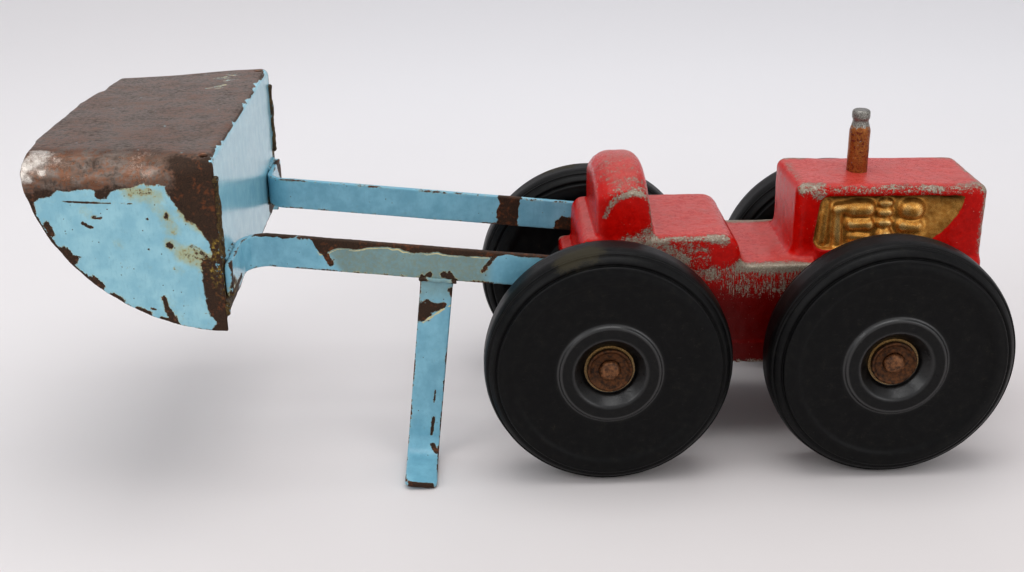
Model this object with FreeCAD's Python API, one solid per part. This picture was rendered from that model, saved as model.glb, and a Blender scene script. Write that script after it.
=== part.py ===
import FreeCAD, Part
import math
import os

# Toy tractor with a swing-over front loader.  Millimetres.
# +X is forward (engine hood end), +Y is the driver's left, +Z is up, the floor is Z = 0.
# The loader is drawn swung back over the rear step, standing on its lever.

V = FreeCAD.Vector
X_AXIS = V(1, 0, 0)
Y_AXIS = V(0, 1, 0)
Z_AXIS = V(0, 0, 1)
ORIGIN = V(0, 0, 0)

# Wheels and axles
WHEEL_RADIUS = 63.5
WHEEL_HALF_WIDTH = 16.3
SHOULDER_RADIUS = 13.0
WHEEL_TRACK_HALF = 67.5
WHEELBASE = 144.0
REAR_AXLE_X = 35.75
FRONT_AXLE_X = REAR_AXLE_X + WHEELBASE
AXLE_Z = WHEEL_RADIUS
AXLE_RADIUS = 4.75
AXLE_HEAD_RADIUS = 5.5
AXLE_HEAD_HEIGHT = 3.4
BUSH_RADIUS = 7.5
BUSH_BORE_RADIUS = AXLE_RADIUS + 0.06
BUSH_HALF_LENGTH = 9.5
HUB_BOSS_RADIUS = 25.5
HUB_MOUTH_RADIUS = 17.5
HUB_FLOOR_RADIUS = 13.4
HUB_FLOOR_OFFSET = BUSH_HALF_LENGTH
WEB_OFFSET = 15.2
WEB_OUTER_RADIUS = 47.5
GROOVE_RADIUS = 57.7
GROOVE_DEPTH = 1.1
HUB_BOSS_DRAFT = 0.8
CAP_RADIUS = 12.0
CAP_EDGE_ROUND = 0.9
CAP_DISH_RADIUS = 9.8
END_PLAY = 0.3
CAP_INNER_Y = WHEEL_TRACK_HALF + BUSH_HALF_LENGTH + END_PLAY
CAP_OUTER_Y = CAP_INNER_Y + 2.4
CAP_DISH_Y = CAP_OUTER_Y - 1.4
SPACER_RADIUS = 7.0
SPACER_END_Y = WHEEL_TRACK_HALF - BUSH_HALF_LENGTH - END_PLAY

# Tractor body casting
BODY_HALF_WIDTH = 37.0
BODY_BOTTOM_Z = 47.0
BODY_REAR_X = 17.0
WALL = 4.0
SKIRT_TOP_Z = 59.0
SKIRT_STEP = 0.8
LEDGE_TOP_Z = 95.0
STEP_ROUND = 2.0
BLOCK_REAR_X = 24.0
BLOCK_REAR_ROUND = 7.0
SEAT_NOSE_ROUND = 10.0
SEAT_SIDE_ROUND = 2.5
INNER_ROUND = 2.0
SEAT_TOP_Z = 119.0
SEAT_NOSE_X = 105.5
SEAT_HOLLOW_FRONT_X = 95.5
DECK_REAR_X = 108.5
DECK_TOP_Z = 102.0
CHASSIS_NARROW_X = 147.0
CHASSIS_HALF_WIDTH = 29.0
HOOD_REAR_X = 137.5
HOOD_FRONT_X = 238.3
HOOD_HALF_WIDTH = 28.0
HOOD_TOP_REAR_Z = 142.0
HOOD_TOP_FRONT_Z = 140.0
SEAT_BACK_REAR_X = 31.5
SEAT_BACK_FRONT_X = 64.0
SEAT_BACK_TOP_Z = 152.0
SEAT_BACK_SIDE_Z = 142.5
SEAT_BACK_HALF_WIDTH = 36.5
SEAT_BACK_LEAN = 7.0
SEAT_BACK_REAR_ROUND = 12.0
SEAT_BACK_FRONT_ROUND = 10.0
SEAT_BACK_PLAN_ROUND = 9.0
HOOD_SIDE_ROUND = 7.0
HOOD_TOP_ROUND = 6.0
CHASSIS_ROUND = 6.0
HOLLOW_ROOF = 5.0
BOSS_RADIUS = 11.0
BOSS_END_Y = 43.0
BOSS_ROOT = 2.0
BACK_WALL_EXTRA = 3.0

# Engine relief in each hood side
RECESS_DEPTH = 5.0
RECESS_REAR_X = 148.5
RECESS_FRONT_X = 223.5
RECESS_LOW_FRONT_X = 206.5
RECESS_TOP_Z = 135.5
RECESS_BOTTOM_Z = 107.0
RECESS_CORNER = 4.0
RECESS_FLOOR_Y = HOOD_HALF_WIDTH - RECESS_DEPTH
RELIEF_CREST_Y = HOOD_HALF_WIDTH - 0.6
RELIEF_ROOT = 1.5
PIPE_X = 162.0
PIPE_RADIUS = 3.2
ELBOW_RADIUS = 4.2
DRUM_REAR_XS = (166.0, 192.0)
DRUM_LENGTH = 16.5
DRUM_RADIUS = 4.6
DRUM_Z = RECESS_TOP_Z - 8.0
RIB_INSET = 0.8
RIB_RADIUS = 2.4
RIB_Z = RECESS_TOP_Z - 14.5
SPOOL_X = 187.1
SPOOL_CORE_RADIUS = 2.8
SPOOL_DISC_RADIUS = 4.2
SPOOL_DISC_HEIGHT = 3.2
SPOOL_PITCH = 5.0
SPOOL_DISCS = 3
BELL_RADIUS = 5.0
BELL_HEIGHT = 8.0

# Exhaust stack and cross pin
STACK_X = 175.5
STACK_RADIUS = 5.6
STACK_NECK_RADIUS = 4.3
STACK_RIM_RADIUS = 4.8
STACK_FOOT_Z = 134.0
STACK_SHOULDER_Z = 164.5
STACK_NECK_Z = 169.0
STACK_RIM_Z = 171.0
STACK_TOP_Z = 175.2
STACK_CHAMFER = 1.2
CROSS_PIN_X = 86.6
CROSS_PIN_Z = 105.4
CROSS_PIN_RADIUS = 2.5
CROSS_PIN_HEAD_RADIUS = 3.7
CROSS_PIN_HEAD_HEIGHT = 1.2

# Loader pivot
PIVOT_X = 55.75
PIVOT_Z = 100.0
PIVOT_ROD_RADIUS = 4.0
PIVOT_CLEARANCE = 0.06
PIVOT_BOSS_RADIUS = 9.0
PIVOT_WASHER_RADIUS = 8.5
PIVOT_RETAINER_RADIUS = 7.5
PIVOT_RETAINER_THICKNESS = 1.0
PIVOT_HEAD_RADIUS = 5.2
PIVOT_HEAD_HEIGHT = 1.3
PIVOT_SIDE_PLAY = 0.15

# Loader straps
STRAP_WIDTH = 17.3
STRAP_THICKNESS = 3.5
ARM_INNER_Y = 45.0
ARM_OUTER_Y = ARM_INNER_Y + STRAP_THICKNESS
ARM_SLOPE_DEG = 6.2
ARM_BEND_RADIUS = 6.0
TAB_END_Y = 91.0
TAB_CORNER = 4.0
LEVER_FROM_PIVOT = 106.0
LEVER_BEND_RADIUS = 10.0
LEVER_FOOT_Y = 83.0
LEVER_CORNER = 4.5

# Bucket
SHEET = 2.0
BUCKET_REAR_X = -148.2
BACK_PLATE_RECESS = 1.6
BUCKET_DEPTH = 95.0
BUCKET_HEIGHT = 87.5
BUCKET_TOP_Z = 183.0
BUCKET_REAR_HALF_WIDTH = 94.0
BUCKET_FRONT_HALF_WIDTH = 84.0
BUCKET_SIDE_BEND = 9.0
BUCKET_REAR_BEND = 4.0
BACK_PLATE_BOTTOM_Z = 103.0
CORNER_GAP = 0.6
RELIEF_HOLE_RADIUS = 2.0
RELIEF_HOLE_X = BUCKET_REAR_X - 6.5
RELIEF_HOLE_Y = BUCKET_REAR_HALF_WIDTH - 7.5

# Welds
BEAD_RADIUS = 3.2
BEAD_START_GAP = 2.0
BEAD_END_GAP = 1.0
SEAM_RADIUS = 1.7
SEAM_END_GAP = 4.5
LEVER_BEAD_RADIUS = 1.8
LEVER_BEAD_INSET = 2.5

RIGHT = -1
LEFT = 1

# Longer than any piece, for cutting tools
BEYOND = 300.0


def point_xz(x, z):
    return V(x, 0, z)


def point_yz(y, z):
    return V(0, y, z)


def point_xy(x, y):
    return V(x, y, 0)


def closed_wire(start, *steps):
    """Closed outline: a step is an end point, or a (point on the arc, end point) pair."""
    edges = []
    here = start
    for step in steps:
        if isinstance(step, tuple):
            edges.append(Part.Arc(here, step[0], step[1]).toShape())
            here = step[1]
        else:
            edges.append(Part.LineSegment(here, step).toShape())
            here = step
    if here.distanceToPoint(start) > 1e-6:
        edges.append(Part.LineSegment(here, start).toShape())
    return Part.Wire(edges)


def rounded_outline(make_point, corners):
    """Closed outline through (a, b, radius) corners; a radius above 0 rounds the corner."""
    points = [make_point(a, b) for a, b, radius in corners]
    edges = []
    last_end = None
    first_start = None
    for index, (a, b, radius) in enumerate(corners):
        corner = points[index]
        back = (points[index - 1] - corner).normalize()
        ahead = (points[(index + 1) % len(points)] - corner).normalize()
        half_angle = back.getAngle(ahead) / 2
        reach = radius / math.tan(half_angle)
        start = corner + back * reach
        end = corner + ahead * reach
        if last_end is None:
            first_start = start
        else:
            edges.append(Part.LineSegment(last_end, start).toShape())
        if radius:
            middle_line = (back + ahead).normalize()
            middle = corner + middle_line * (radius / math.sin(half_angle) - radius)
            edges.append(Part.Arc(start, middle, end).toShape())
        last_end = end
    edges.append(Part.LineSegment(last_end, first_start).toShape())
    return Part.Wire(edges)


def prism(wire, direction, low, high):
    """Solid swept from a flat outline between two distances along an axis."""
    face = Part.Face(wire)
    face.translate(direction * low)
    return face.extrude(direction * (high - low))


def block(x0, x1, y0, y1, z0, z1):
    return Part.makeBox(x1 - x0, y1 - y0, z1 - z0, V(x0, y0, z0))


def rod_y(x, z, radius, y0, y1):
    return Part.makeCylinder(radius, y1 - y0, V(x, y0, z), Y_AXIS)


def side_rod(x, z, radius, inner, outer, side):
    """Cylinder along Y between two distances from the centre plane, on one side."""
    low, high = sorted((side * inner, side * outer))
    return rod_y(x, z, radius, low, high)


def side_tube(x, z, radius, bore, inner, outer, side):
    return side_rod(x, z, radius, inner, outer, side).cut(
        side_rod(x, z, bore, inner - 1, outer + 1, side))


def domed_head(x, z, radius, height, face_y, side):
    """Low spherical rivet head standing on a side face."""
    sphere_radius = (radius ** 2 + height ** 2) / (2 * height)
    centre_y = face_y + height - sphere_radius
    sphere = Part.makeSphere(sphere_radius, V(x, side * centre_y, z))
    return sphere.common(side_rod(x, z, radius + 1, face_y, face_y + height + 1, side))


def headed_rod(x, z, radius, head_radius, head_height, face_y):
    """Rod across the object, riveted over at both ends."""
    rod = rod_y(x, z, radius, -face_y, face_y)
    for side in (RIGHT, LEFT):
        rod = rod.fuse(domed_head(x, z, head_radius, head_height, face_y, side))
    return rod.removeSplitter()


def fillet_where(shape, radius, test):
    """Round the edges whose middle point passes the test."""
    edges = []
    for edge in shape.Edges:
        if edge.Length < 0.5:
            continue
        middle = edge.valueAt((edge.FirstParameter + edge.LastParameter) / 2)
        if test(edge, middle):
            edges.append(edge)
    return shape.makeFillet(radius, edges)


def runs_along(edge, axis):
    """True for a straight edge parallel to the axis."""
    if edge.Curve.TypeId != "Part::GeomLine":
        return False
    direction = edge.tangentAt(edge.FirstParameter)
    return abs(abs(direction.dot(axis)) - 1) < 1e-4


def mirrored(shape):
    return shape.mirror(ORIGIN, Y_AXIS)


def sided(shape, side):
    """A shape drawn on the left, moved to the wanted side."""
    return shape if side == LEFT else mirrored(shape)


# ---------------------------------------------------------------- wheels


def wheel_tyre():
    """Moulded rubber wheel: round shoulders, side groove, hub boss and a dished hub mouth."""
    centre_r = WHEEL_RADIUS - SHOULDER_RADIUS
    centre_offset = WHEEL_HALF_WIDTH - SHOULDER_RADIUS
    diagonal = SHOULDER_RADIUS * math.sqrt(0.5)
    half = closed_wire(
        V(BUSH_RADIUS, 0, 0),
        V(WHEEL_RADIUS, 0, 0),
        V(WHEEL_RADIUS, centre_offset, 0),
        (V(centre_r + diagonal, centre_offset + diagonal, 0), V(centre_r, WHEEL_HALF_WIDTH, 0)),
        V(WEB_OUTER_RADIUS, WEB_OFFSET, 0),
        V(HUB_BOSS_RADIUS + HUB_BOSS_DRAFT, WEB_OFFSET, 0),
        V(HUB_BOSS_RADIUS, WHEEL_HALF_WIDTH, 0),
        V(HUB_MOUTH_RADIUS, WHEEL_HALF_WIDTH, 0),
        V(HUB_FLOOR_RADIUS, HUB_FLOOR_OFFSET, 0),
        V(BUSH_RADIUS, HUB_FLOOR_OFFSET, 0))
    outer_half = Part.Face(half).revolve(ORIGIN, Y_AXIS, 360)
    wheel = outer_half.fuse(mirrored(outer_half)).removeSplitter()
    groove_offset = centre_offset + math.sqrt(SHOULDER_RADIUS ** 2 - (GROOVE_RADIUS - centre_r) ** 2)
    groove = Part.makeTorus(GROOVE_RADIUS, GROOVE_DEPTH, V(0, groove_offset, 0), Y_AXIS)
    return wheel.cut(groove).cut(mirrored(groove))


def hub_bush():
    """Steel tube moulded into the wheel; it turns on the axle."""
    outer = rod_y(0, 0, BUSH_RADIUS, -BUSH_HALF_LENGTH, BUSH_HALF_LENGTH)
    return outer.cut(rod_y(0, 0, BUSH_BORE_RADIUS, -BUSH_HALF_LENGTH - 1, BUSH_HALF_LENGTH + 1))


def placed_wheel_piece(shape, axle_x, side):
    moved = shape.copy()
    moved.translate(V(axle_x, side * WHEEL_TRACK_HALF, AXLE_Z))
    return moved


def axle(axle_x):
    """Steel rod riveted over inside the dish of each cap."""
    return headed_rod(axle_x, AXLE_Z, AXLE_RADIUS, AXLE_HEAD_RADIUS, AXLE_HEAD_HEIGHT, CAP_DISH_Y)


def axle_cap(axle_x, side):
    """Dished pressed-steel disc pressed on the axle end, outside the wheel hub."""
    disc = side_rod(axle_x, AXLE_Z, CAP_RADIUS, CAP_INNER_Y, CAP_OUTER_Y, side)
    disc = fillet_where(disc, CAP_EDGE_ROUND, lambda edge, middle:
                        abs(abs(middle.y) - CAP_OUTER_Y) < 1e-3)
    dish = side_rod(axle_x, AXLE_Z, CAP_DISH_RADIUS, CAP_DISH_Y, CAP_OUTER_Y + 1, side)
    bore = side_rod(axle_x, AXLE_Z, AXLE_RADIUS, CAP_INNER_Y - 1, CAP_OUTER_Y + 1, side)
    return disc.cut(dish).cut(bore)


def axle_spacers(axle_x):
    """Steel tubes that keep the wheels clear of the casting."""
    return Part.makeCompound([
        side_tube(axle_x, AXLE_Z, SPACER_RADIUS, AXLE_RADIUS, BOSS_END_Y, SPACER_END_Y, side)
        for side in (RIGHT, LEFT)])


# ---------------------------------------------------------------- tractor body


def seat_and_deck():
    """Rear step, seat block with its rounded front slope, and foot deck."""
    wire = rounded_outline(point_xz, [
        (BODY_REAR_X, BODY_BOTTOM_Z, 0),
        (BODY_REAR_X, LEDGE_TOP_Z, STEP_ROUND),
        (BLOCK_REAR_X, LEDGE_TOP_Z, INNER_ROUND),
        (BLOCK_REAR_X, SEAT_TOP_Z, BLOCK_REAR_ROUND),
        (SEAT_NOSE_X, SEAT_TOP_Z, SEAT_NOSE_ROUND),
        (DECK_REAR_X, DECK_TOP_Z, INNER_ROUND),
        (CHASSIS_NARROW_X, DECK_TOP_Z, 0),
        (CHASSIS_NARROW_X, BODY_BOTTOM_Z, 0)])
    solid = prism(wire, Y_AXIS, -BODY_HALF_WIDTH, BODY_HALF_WIDTH)
    return fillet_where(solid, SEAT_SIDE_ROUND, lambda edge, middle:
                        abs(abs(middle.y) - BODY_HALF_WIDTH) < 1e-3 and middle.z > SEAT_TOP_Z - 1)


def seat_back():
    """Tall rounded seat back, crowned across its width."""
    rear_top_x = SEAT_BACK_REAR_X + 0.5
    front_top_x = SEAT_BACK_FRONT_X - SEAT_BACK_LEAN
    half = SEAT_BACK_HALF_WIDTH
    side_view = rounded_outline(point_xz, [
        (SEAT_BACK_REAR_X, DECK_TOP_Z, 0),
        (rear_top_x, SEAT_BACK_TOP_Z, SEAT_BACK_REAR_ROUND),
        (front_top_x, SEAT_BACK_TOP_Z, SEAT_BACK_FRONT_ROUND),
        (SEAT_BACK_FRONT_X, DECK_TOP_Z, 0)])
    end_view = closed_wire(
        point_yz(-half, DECK_TOP_Z),
        point_yz(-half, SEAT_BACK_SIDE_Z),
        (point_yz(0, SEAT_BACK_TOP_Z + 0.5), point_yz(half, SEAT_BACK_SIDE_Z)),
        point_yz(half, DECK_TOP_Z))
    plan = rounded_outline(point_xy, [
        (SEAT_BACK_REAR_X, -half, SEAT_BACK_PLAN_ROUND),
        (SEAT_BACK_FRONT_X, -half, INNER_ROUND),
        (SEAT_BACK_FRONT_X, half, INNER_ROUND),
        (SEAT_BACK_REAR_X, half, SEAT_BACK_PLAN_ROUND)])
    long_way = prism(side_view, Y_AXIS, -half, half)
    cross_way = prism(end_view, X_AXIS, SEAT_BACK_REAR_X, SEAT_BACK_FRONT_X)
    return long_way.common(cross_way).common(prism(plan, Z_AXIS, DECK_TOP_Z, SEAT_BACK_TOP_Z + 1))


def hood():
    """Engine hood: rounded box that falls slightly towards the front."""
    foot_z = BODY_BOTTOM_Z + HOLLOW_ROOF
    wire = closed_wire(
        point_xz(HOOD_REAR_X, foot_z),
        point_xz(HOOD_REAR_X, HOOD_TOP_REAR_Z),
        point_xz(HOOD_FRONT_X, HOOD_TOP_FRONT_Z),
        point_xz(HOOD_FRONT_X, foot_z))
    solid = prism(wire, Y_AXIS, -HOOD_HALF_WIDTH, HOOD_HALF_WIDTH)
    solid = fillet_where(solid, HOOD_SIDE_ROUND, lambda edge, middle: runs_along(edge, Z_AXIS))
    return fillet_where(solid, HOOD_TOP_ROUND, lambda edge, middle: middle.z > RECESS_TOP_Z)


def chassis_front():
    """Narrow part of the casting under the hood."""
    solid = block(CHASSIS_NARROW_X - CHASSIS_ROUND, HOOD_FRONT_X, -CHASSIS_HALF_WIDTH, CHASSIS_HALF_WIDTH,
                  BODY_BOTTOM_Z, DECK_TOP_Z - WALL)
    return fillet_where(solid, CHASSIS_ROUND, lambda edge, middle:
                        runs_along(edge, Z_AXIS) and middle.x > STACK_X)


def recess_cutter():
    """Engine window on the left hood side: straight top, slanted curved front."""
    rear_low = point_xz(RECESS_REAR_X, RECESS_BOTTOM_Z)
    rear_high = point_xz(RECESS_REAR_X, RECESS_TOP_Z)
    front_high = point_xz(RECESS_FRONT_X, RECESS_TOP_Z)
    front_low = point_xz(RECESS_LOW_FRONT_X, RECESS_BOTTOM_Z)
    bulge = point_xz(RECESS_FRONT_X - RECESS_CORNER, (RECESS_TOP_Z + RECESS_BOTTOM_Z) / 2 + 1)
    wire = closed_wire(rear_low, rear_high, front_high, (bulge, front_low))
    cutter = prism(wire, Y_AXIS, RECESS_FLOOR_Y, HOOD_HALF_WIDTH + RECESS_DEPTH)
    return fillet_where(cutter, RECESS_CORNER, lambda edge, middle:
                        runs_along(edge, Y_AXIS) and middle.x < RECESS_FRONT_X - 1)


def capsule(x0, x1, z, radius):
    """Lying cylinder with round ends, half sunk in the recess floor on the left side."""
    tube = Part.makeCylinder(radius, x1 - x0 - 2 * radius, V(x0 + radius, RECESS_FLOOR_Y, z), X_AXIS)
    for x in (x0 + radius, x1 - radius):
        tube = tube.fuse(Part.makeSphere(radius, V(x, RECESS_FLOOR_Y, z)))
    return tube


def engine_relief():
    """Cast engine detail on the left: manifold pipe, two drums with ribs, and a spool."""
    y = RECESS_FLOOR_Y
    low = RECESS_BOTTOM_Z - 1
    relief = Part.makeCylinder(PIPE_RADIUS, DRUM_Z - low, V(PIPE_X, y, low), Z_AXIS)
    relief = relief.fuse(Part.makeSphere(ELBOW_RADIUS, V(PIPE_X, y, DRUM_Z)))
    for drum_x in DRUM_REAR_XS:
        relief = relief.fuse(capsule(drum_x, drum_x + DRUM_LENGTH, DRUM_Z, DRUM_RADIUS))
        rib_end = drum_x + DRUM_LENGTH - RIB_INSET
        relief = relief.fuse(capsule(drum_x + RIB_INSET, rib_end, RIB_Z, RIB_RADIUS))
    relief = relief.fuse(Part.makeCylinder(SPOOL_CORE_RADIUS, DRUM_Z - low, V(SPOOL_X, y, low), Z_AXIS))
    for level in range(SPOOL_DISCS):
        disc_z = DRUM_Z - level * SPOOL_PITCH
        relief = relief.fuse(Part.makeCylinder(SPOOL_DISC_RADIUS, SPOOL_DISC_HEIGHT, V(SPOOL_X, y, disc_z)))
    relief = relief.fuse(Part.makeCone(BELL_RADIUS, SPOOL_CORE_RADIUS, BELL_HEIGHT,
                                       V(SPOOL_X, y, RECESS_BOTTOM_Z + 2)))
    inner = block(RECESS_REAR_X, RECESS_FRONT_X, y - RELIEF_ROOT, RELIEF_CREST_Y,
                  RECESS_BOTTOM_Z, RECESS_TOP_Z)
    return relief.common(inner)


def body_bosses():
    """Round pads on the casting's sides around the axles and the loader pivot."""
    wide_root = BODY_HALF_WIDTH - BOSS_ROOT
    narrow_root = CHASSIS_HALF_WIDTH - BOSS_ROOT
    pads = []
    for side in (RIGHT, LEFT):
        pads.append(side_rod(REAR_AXLE_X, AXLE_Z, BOSS_RADIUS, wide_root, BOSS_END_Y, side))
        pads.append(side_rod(FRONT_AXLE_X, AXLE_Z, BOSS_RADIUS, narrow_root, BOSS_END_Y, side))
        pads.append(side_rod(PIVOT_X, PIVOT_Z, PIVOT_BOSS_RADIUS, wide_root, BOSS_END_Y, side))
    return pads


def body_cavities():
    """Hollow inside the casting, open underneath."""
    low = BODY_BOTTOM_Z - 1
    inner = BODY_HALF_WIDTH - WALL
    narrow = CHASSIS_HALF_WIDTH - WALL
    back_inner = inner - BACK_WALL_EXTRA
    back_front_x = SEAT_BACK_FRONT_X - HOLLOW_ROOF - SEAT_BACK_LEAN / 2
    hood_inner = RECESS_FLOOR_Y - WALL
    return [
        block(BODY_REAR_X + WALL, CHASSIS_NARROW_X - WALL, -inner, inner, low, LEDGE_TOP_Z - WALL),
        block(BLOCK_REAR_X + WALL, SEAT_HOLLOW_FRONT_X, -inner, inner, low, SEAT_TOP_Z - HOLLOW_ROOF),
        block(SEAT_BACK_REAR_X + HOLLOW_ROOF, back_front_x, -back_inner, back_inner,
              low, SEAT_BACK_SIDE_Z - 2 * HOLLOW_ROOF),
        block(CHASSIS_NARROW_X - WALL - 1, HOOD_FRONT_X - WALL, -narrow, narrow, low,
              LEDGE_TOP_Z - WALL),
        block(HOOD_REAR_X + WALL, HOOD_FRONT_X - WALL, -hood_inner, hood_inner, low,
              HOOD_TOP_FRONT_Z - HOLLOW_ROOF - 1),
    ]


def body_skirt():
    """Thin raised band round the foot of the wide part of the casting."""
    outer = BODY_HALF_WIDTH + SKIRT_STEP
    return block(BODY_REAR_X - SKIRT_STEP, CHASSIS_NARROW_X, -outer, outer, BODY_BOTTOM_Z, SKIRT_TOP_Z)


def body_casting():
    body = seat_and_deck()
    for piece in [body_skirt(), chassis_front(), hood(), seat_back()] + body_bosses():
        body = body.fuse(piece)
    for side in (RIGHT, LEFT):
        body = body.cut(sided(recess_cutter(), side))
        body = body.fuse(sided(engine_relief(), side))
    for cavity in body_cavities():
        body = body.cut(cavity)
    body = body.cut(rod_y(REAR_AXLE_X, AXLE_Z, AXLE_RADIUS, -BOSS_END_Y - 1, BOSS_END_Y + 1))
    body = body.cut(rod_y(FRONT_AXLE_X, AXLE_Z, AXLE_RADIUS, -BOSS_END_Y - 1, BOSS_END_Y + 1))
    body = body.cut(rod_y(PIVOT_X, PIVOT_Z, PIVOT_ROD_RADIUS, -BOSS_END_Y - 1, BOSS_END_Y + 1))
    body = body.cut(rod_y(CROSS_PIN_X, CROSS_PIN_Z, CROSS_PIN_RADIUS, -BOSS_END_Y, BOSS_END_Y))
    body = body.cut(Part.makeCylinder(STACK_RADIUS, 20, V(STACK_X, 0, STACK_FOOT_Z), Z_AXIS))
    return body.removeSplitter()


def exhaust_stack():
    """Turned pin: plain shank, tapered shoulder, neck and rim."""
    wire = closed_wire(
        point_xz(0, STACK_FOOT_Z),
        point_xz(STACK_RADIUS, STACK_FOOT_Z),
        point_xz(STACK_RADIUS, STACK_SHOULDER_Z),
        point_xz(STACK_NECK_RADIUS, STACK_NECK_Z),
        point_xz(STACK_RIM_RADIUS, STACK_RIM_Z),
        point_xz(STACK_RIM_RADIUS, STACK_TOP_Z - STACK_CHAMFER),
        point_xz(STACK_RIM_RADIUS - STACK_CHAMFER, STACK_TOP_Z),
        point_xz(0, STACK_TOP_Z))
    stack = Part.Face(wire).revolve(ORIGIN, Z_AXIS, 360)
    stack.translate(V(STACK_X, 0, 0))
    return stack


def body_cross_pin():
    """Steel pin through the seat block, riveted over at both ends."""
    return headed_rod(CROSS_PIN_X, CROSS_PIN_Z, CROSS_PIN_RADIUS, CROSS_PIN_HEAD_RADIUS,
                      CROSS_PIN_HEAD_HEIGHT, BODY_HALF_WIDTH)


# ---------------------------------------------------------------- loader pivot

RETAINER_INNER_Y = ARM_OUTER_Y + PIVOT_SIDE_PLAY
RETAINER_OUTER_Y = RETAINER_INNER_Y + PIVOT_RETAINER_THICKNESS


def pivot_rod():
    """Steel rod through the casting, riveted over a retaining washer at each end."""
    return headed_rod(PIVOT_X, PIVOT_Z, PIVOT_ROD_RADIUS, PIVOT_HEAD_RADIUS, PIVOT_HEAD_HEIGHT,
                      RETAINER_OUTER_Y)


def pivot_rings(radius, inner_y, outer_y):
    """A pair of washers on the pivot rod, one on each side."""
    return Part.makeCompound([
        side_tube(PIVOT_X, PIVOT_Z, radius, PIVOT_ROD_RADIUS, inner_y, outer_y, side)
        for side in (RIGHT, LEFT)])


# ---------------------------------------------------------------- loader straps

SLOPE = math.radians(ARM_SLOPE_DEG)
ALONG = V(-math.cos(SLOPE), 0, math.sin(SLOPE))
ACROSS = V(-math.sin(SLOPE), 0, -math.cos(SLOPE))
PIVOT = V(PIVOT_X, 0, PIVOT_Z)
BACK_PLATE_X = BUCKET_REAR_X - BACK_PLATE_RECESS
BEND_OUTER_RADIUS = ARM_BEND_RADIUS + STRAP_THICKNESS
BEND_X = BACK_PLATE_X + BEND_OUTER_RADIUS


def on_arm(along, across):
    """Point in the arm plane: distance from the pivot, and distance below the centre line."""
    return PIVOT + ALONG * along + ACROSS * across


def arm_end_points():
    """Top and bottom corners of the straight strap where its bend starts, one above the other."""
    half = STRAP_WIDTH / 2
    reach = (PIVOT_X - BEND_X) / math.cos(SLOPE)
    rise = math.tan(SLOPE) * half
    return on_arm(reach - rise, -half), on_arm(reach + rise, half)


def arm_tab_heights():
    top_end, low_end = arm_end_points()
    return low_end.z, top_end.z


def arm_strap():
    """Left arm: straight strap with a round pivot end and an outward bent tab."""
    half = STRAP_WIDTH / 2
    top_end, low_end = arm_end_points()
    wire = closed_wire(
        on_arm(0, -half), top_end, low_end, on_arm(0, half),
        (on_arm(-half, 0), on_arm(0, -half)))
    strap = prism(wire, Y_AXIS, ARM_INNER_Y, ARM_OUTER_Y)
    strap = strap.cut(rod_y(PIVOT_X, PIVOT_Z, PIVOT_ROD_RADIUS + PIVOT_CLEARANCE, 0, 2 * ARM_OUTER_Y))
    section = Part.makePolygon([V(BEND_X, y, z) for y, z in (
        (ARM_INNER_Y, low_end.z), (ARM_OUTER_Y, low_end.z), (ARM_OUTER_Y, top_end.z),
        (ARM_INNER_Y, top_end.z), (ARM_INNER_Y, low_end.z))])
    bend = Part.Face(section).revolve(V(BEND_X, ARM_OUTER_Y + ARM_BEND_RADIUS, 0), Z_AXIS, -90)
    tab = block(BACK_PLATE_X, BACK_PLATE_X + STRAP_THICKNESS, ARM_OUTER_Y + ARM_BEND_RADIUS, TAB_END_Y,
                low_end.z, top_end.z)
    tab = fillet_where(tab, TAB_CORNER, lambda edge, middle:
                       runs_along(edge, X_AXIS) and middle.y > TAB_END_Y - 1)
    return strap.fuse(bend).fuse(tab).removeSplitter()


def lever():
    """Strap welded under the right arm, square to it, with a foot bent outward."""
    half = STRAP_WIDTH / 2
    foot_across = (PIVOT_Z + (LEVER_FROM_PIVOT - half) * math.sin(SLOPE)) / math.cos(SLOPE)
    foot_top = STRAP_THICKNESS - foot_across
    # Drawn upright on the left side with the weld edge on top, then turned into the arm plane.
    side_view = rounded_outline(point_yz, [
        (ARM_INNER_Y, -half, 0),
        (ARM_INNER_Y, -foot_across, LEVER_BEND_RADIUS + STRAP_THICKNESS),
        (LEVER_FOOT_Y, -foot_across, 0),
        (LEVER_FOOT_Y, foot_top, 0),
        (ARM_OUTER_Y, foot_top, LEVER_BEND_RADIUS),
        (ARM_OUTER_Y, -half, 0)])
    strap = prism(side_view, X_AXIS, -half, half)
    strap = fillet_where(strap, LEVER_CORNER, lambda edge, middle:
                         runs_along(edge, Z_AXIS) and middle.y > LEVER_FOOT_Y - 1)
    strap.translate(V(-LEVER_FROM_PIVOT, 0, 0))
    strap.rotate(ORIGIN, Y_AXIS, ARM_SLOPE_DEG)
    strap.translate(PIVOT)
    return mirrored(strap)


# ---------------------------------------------------------------- bucket


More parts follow.
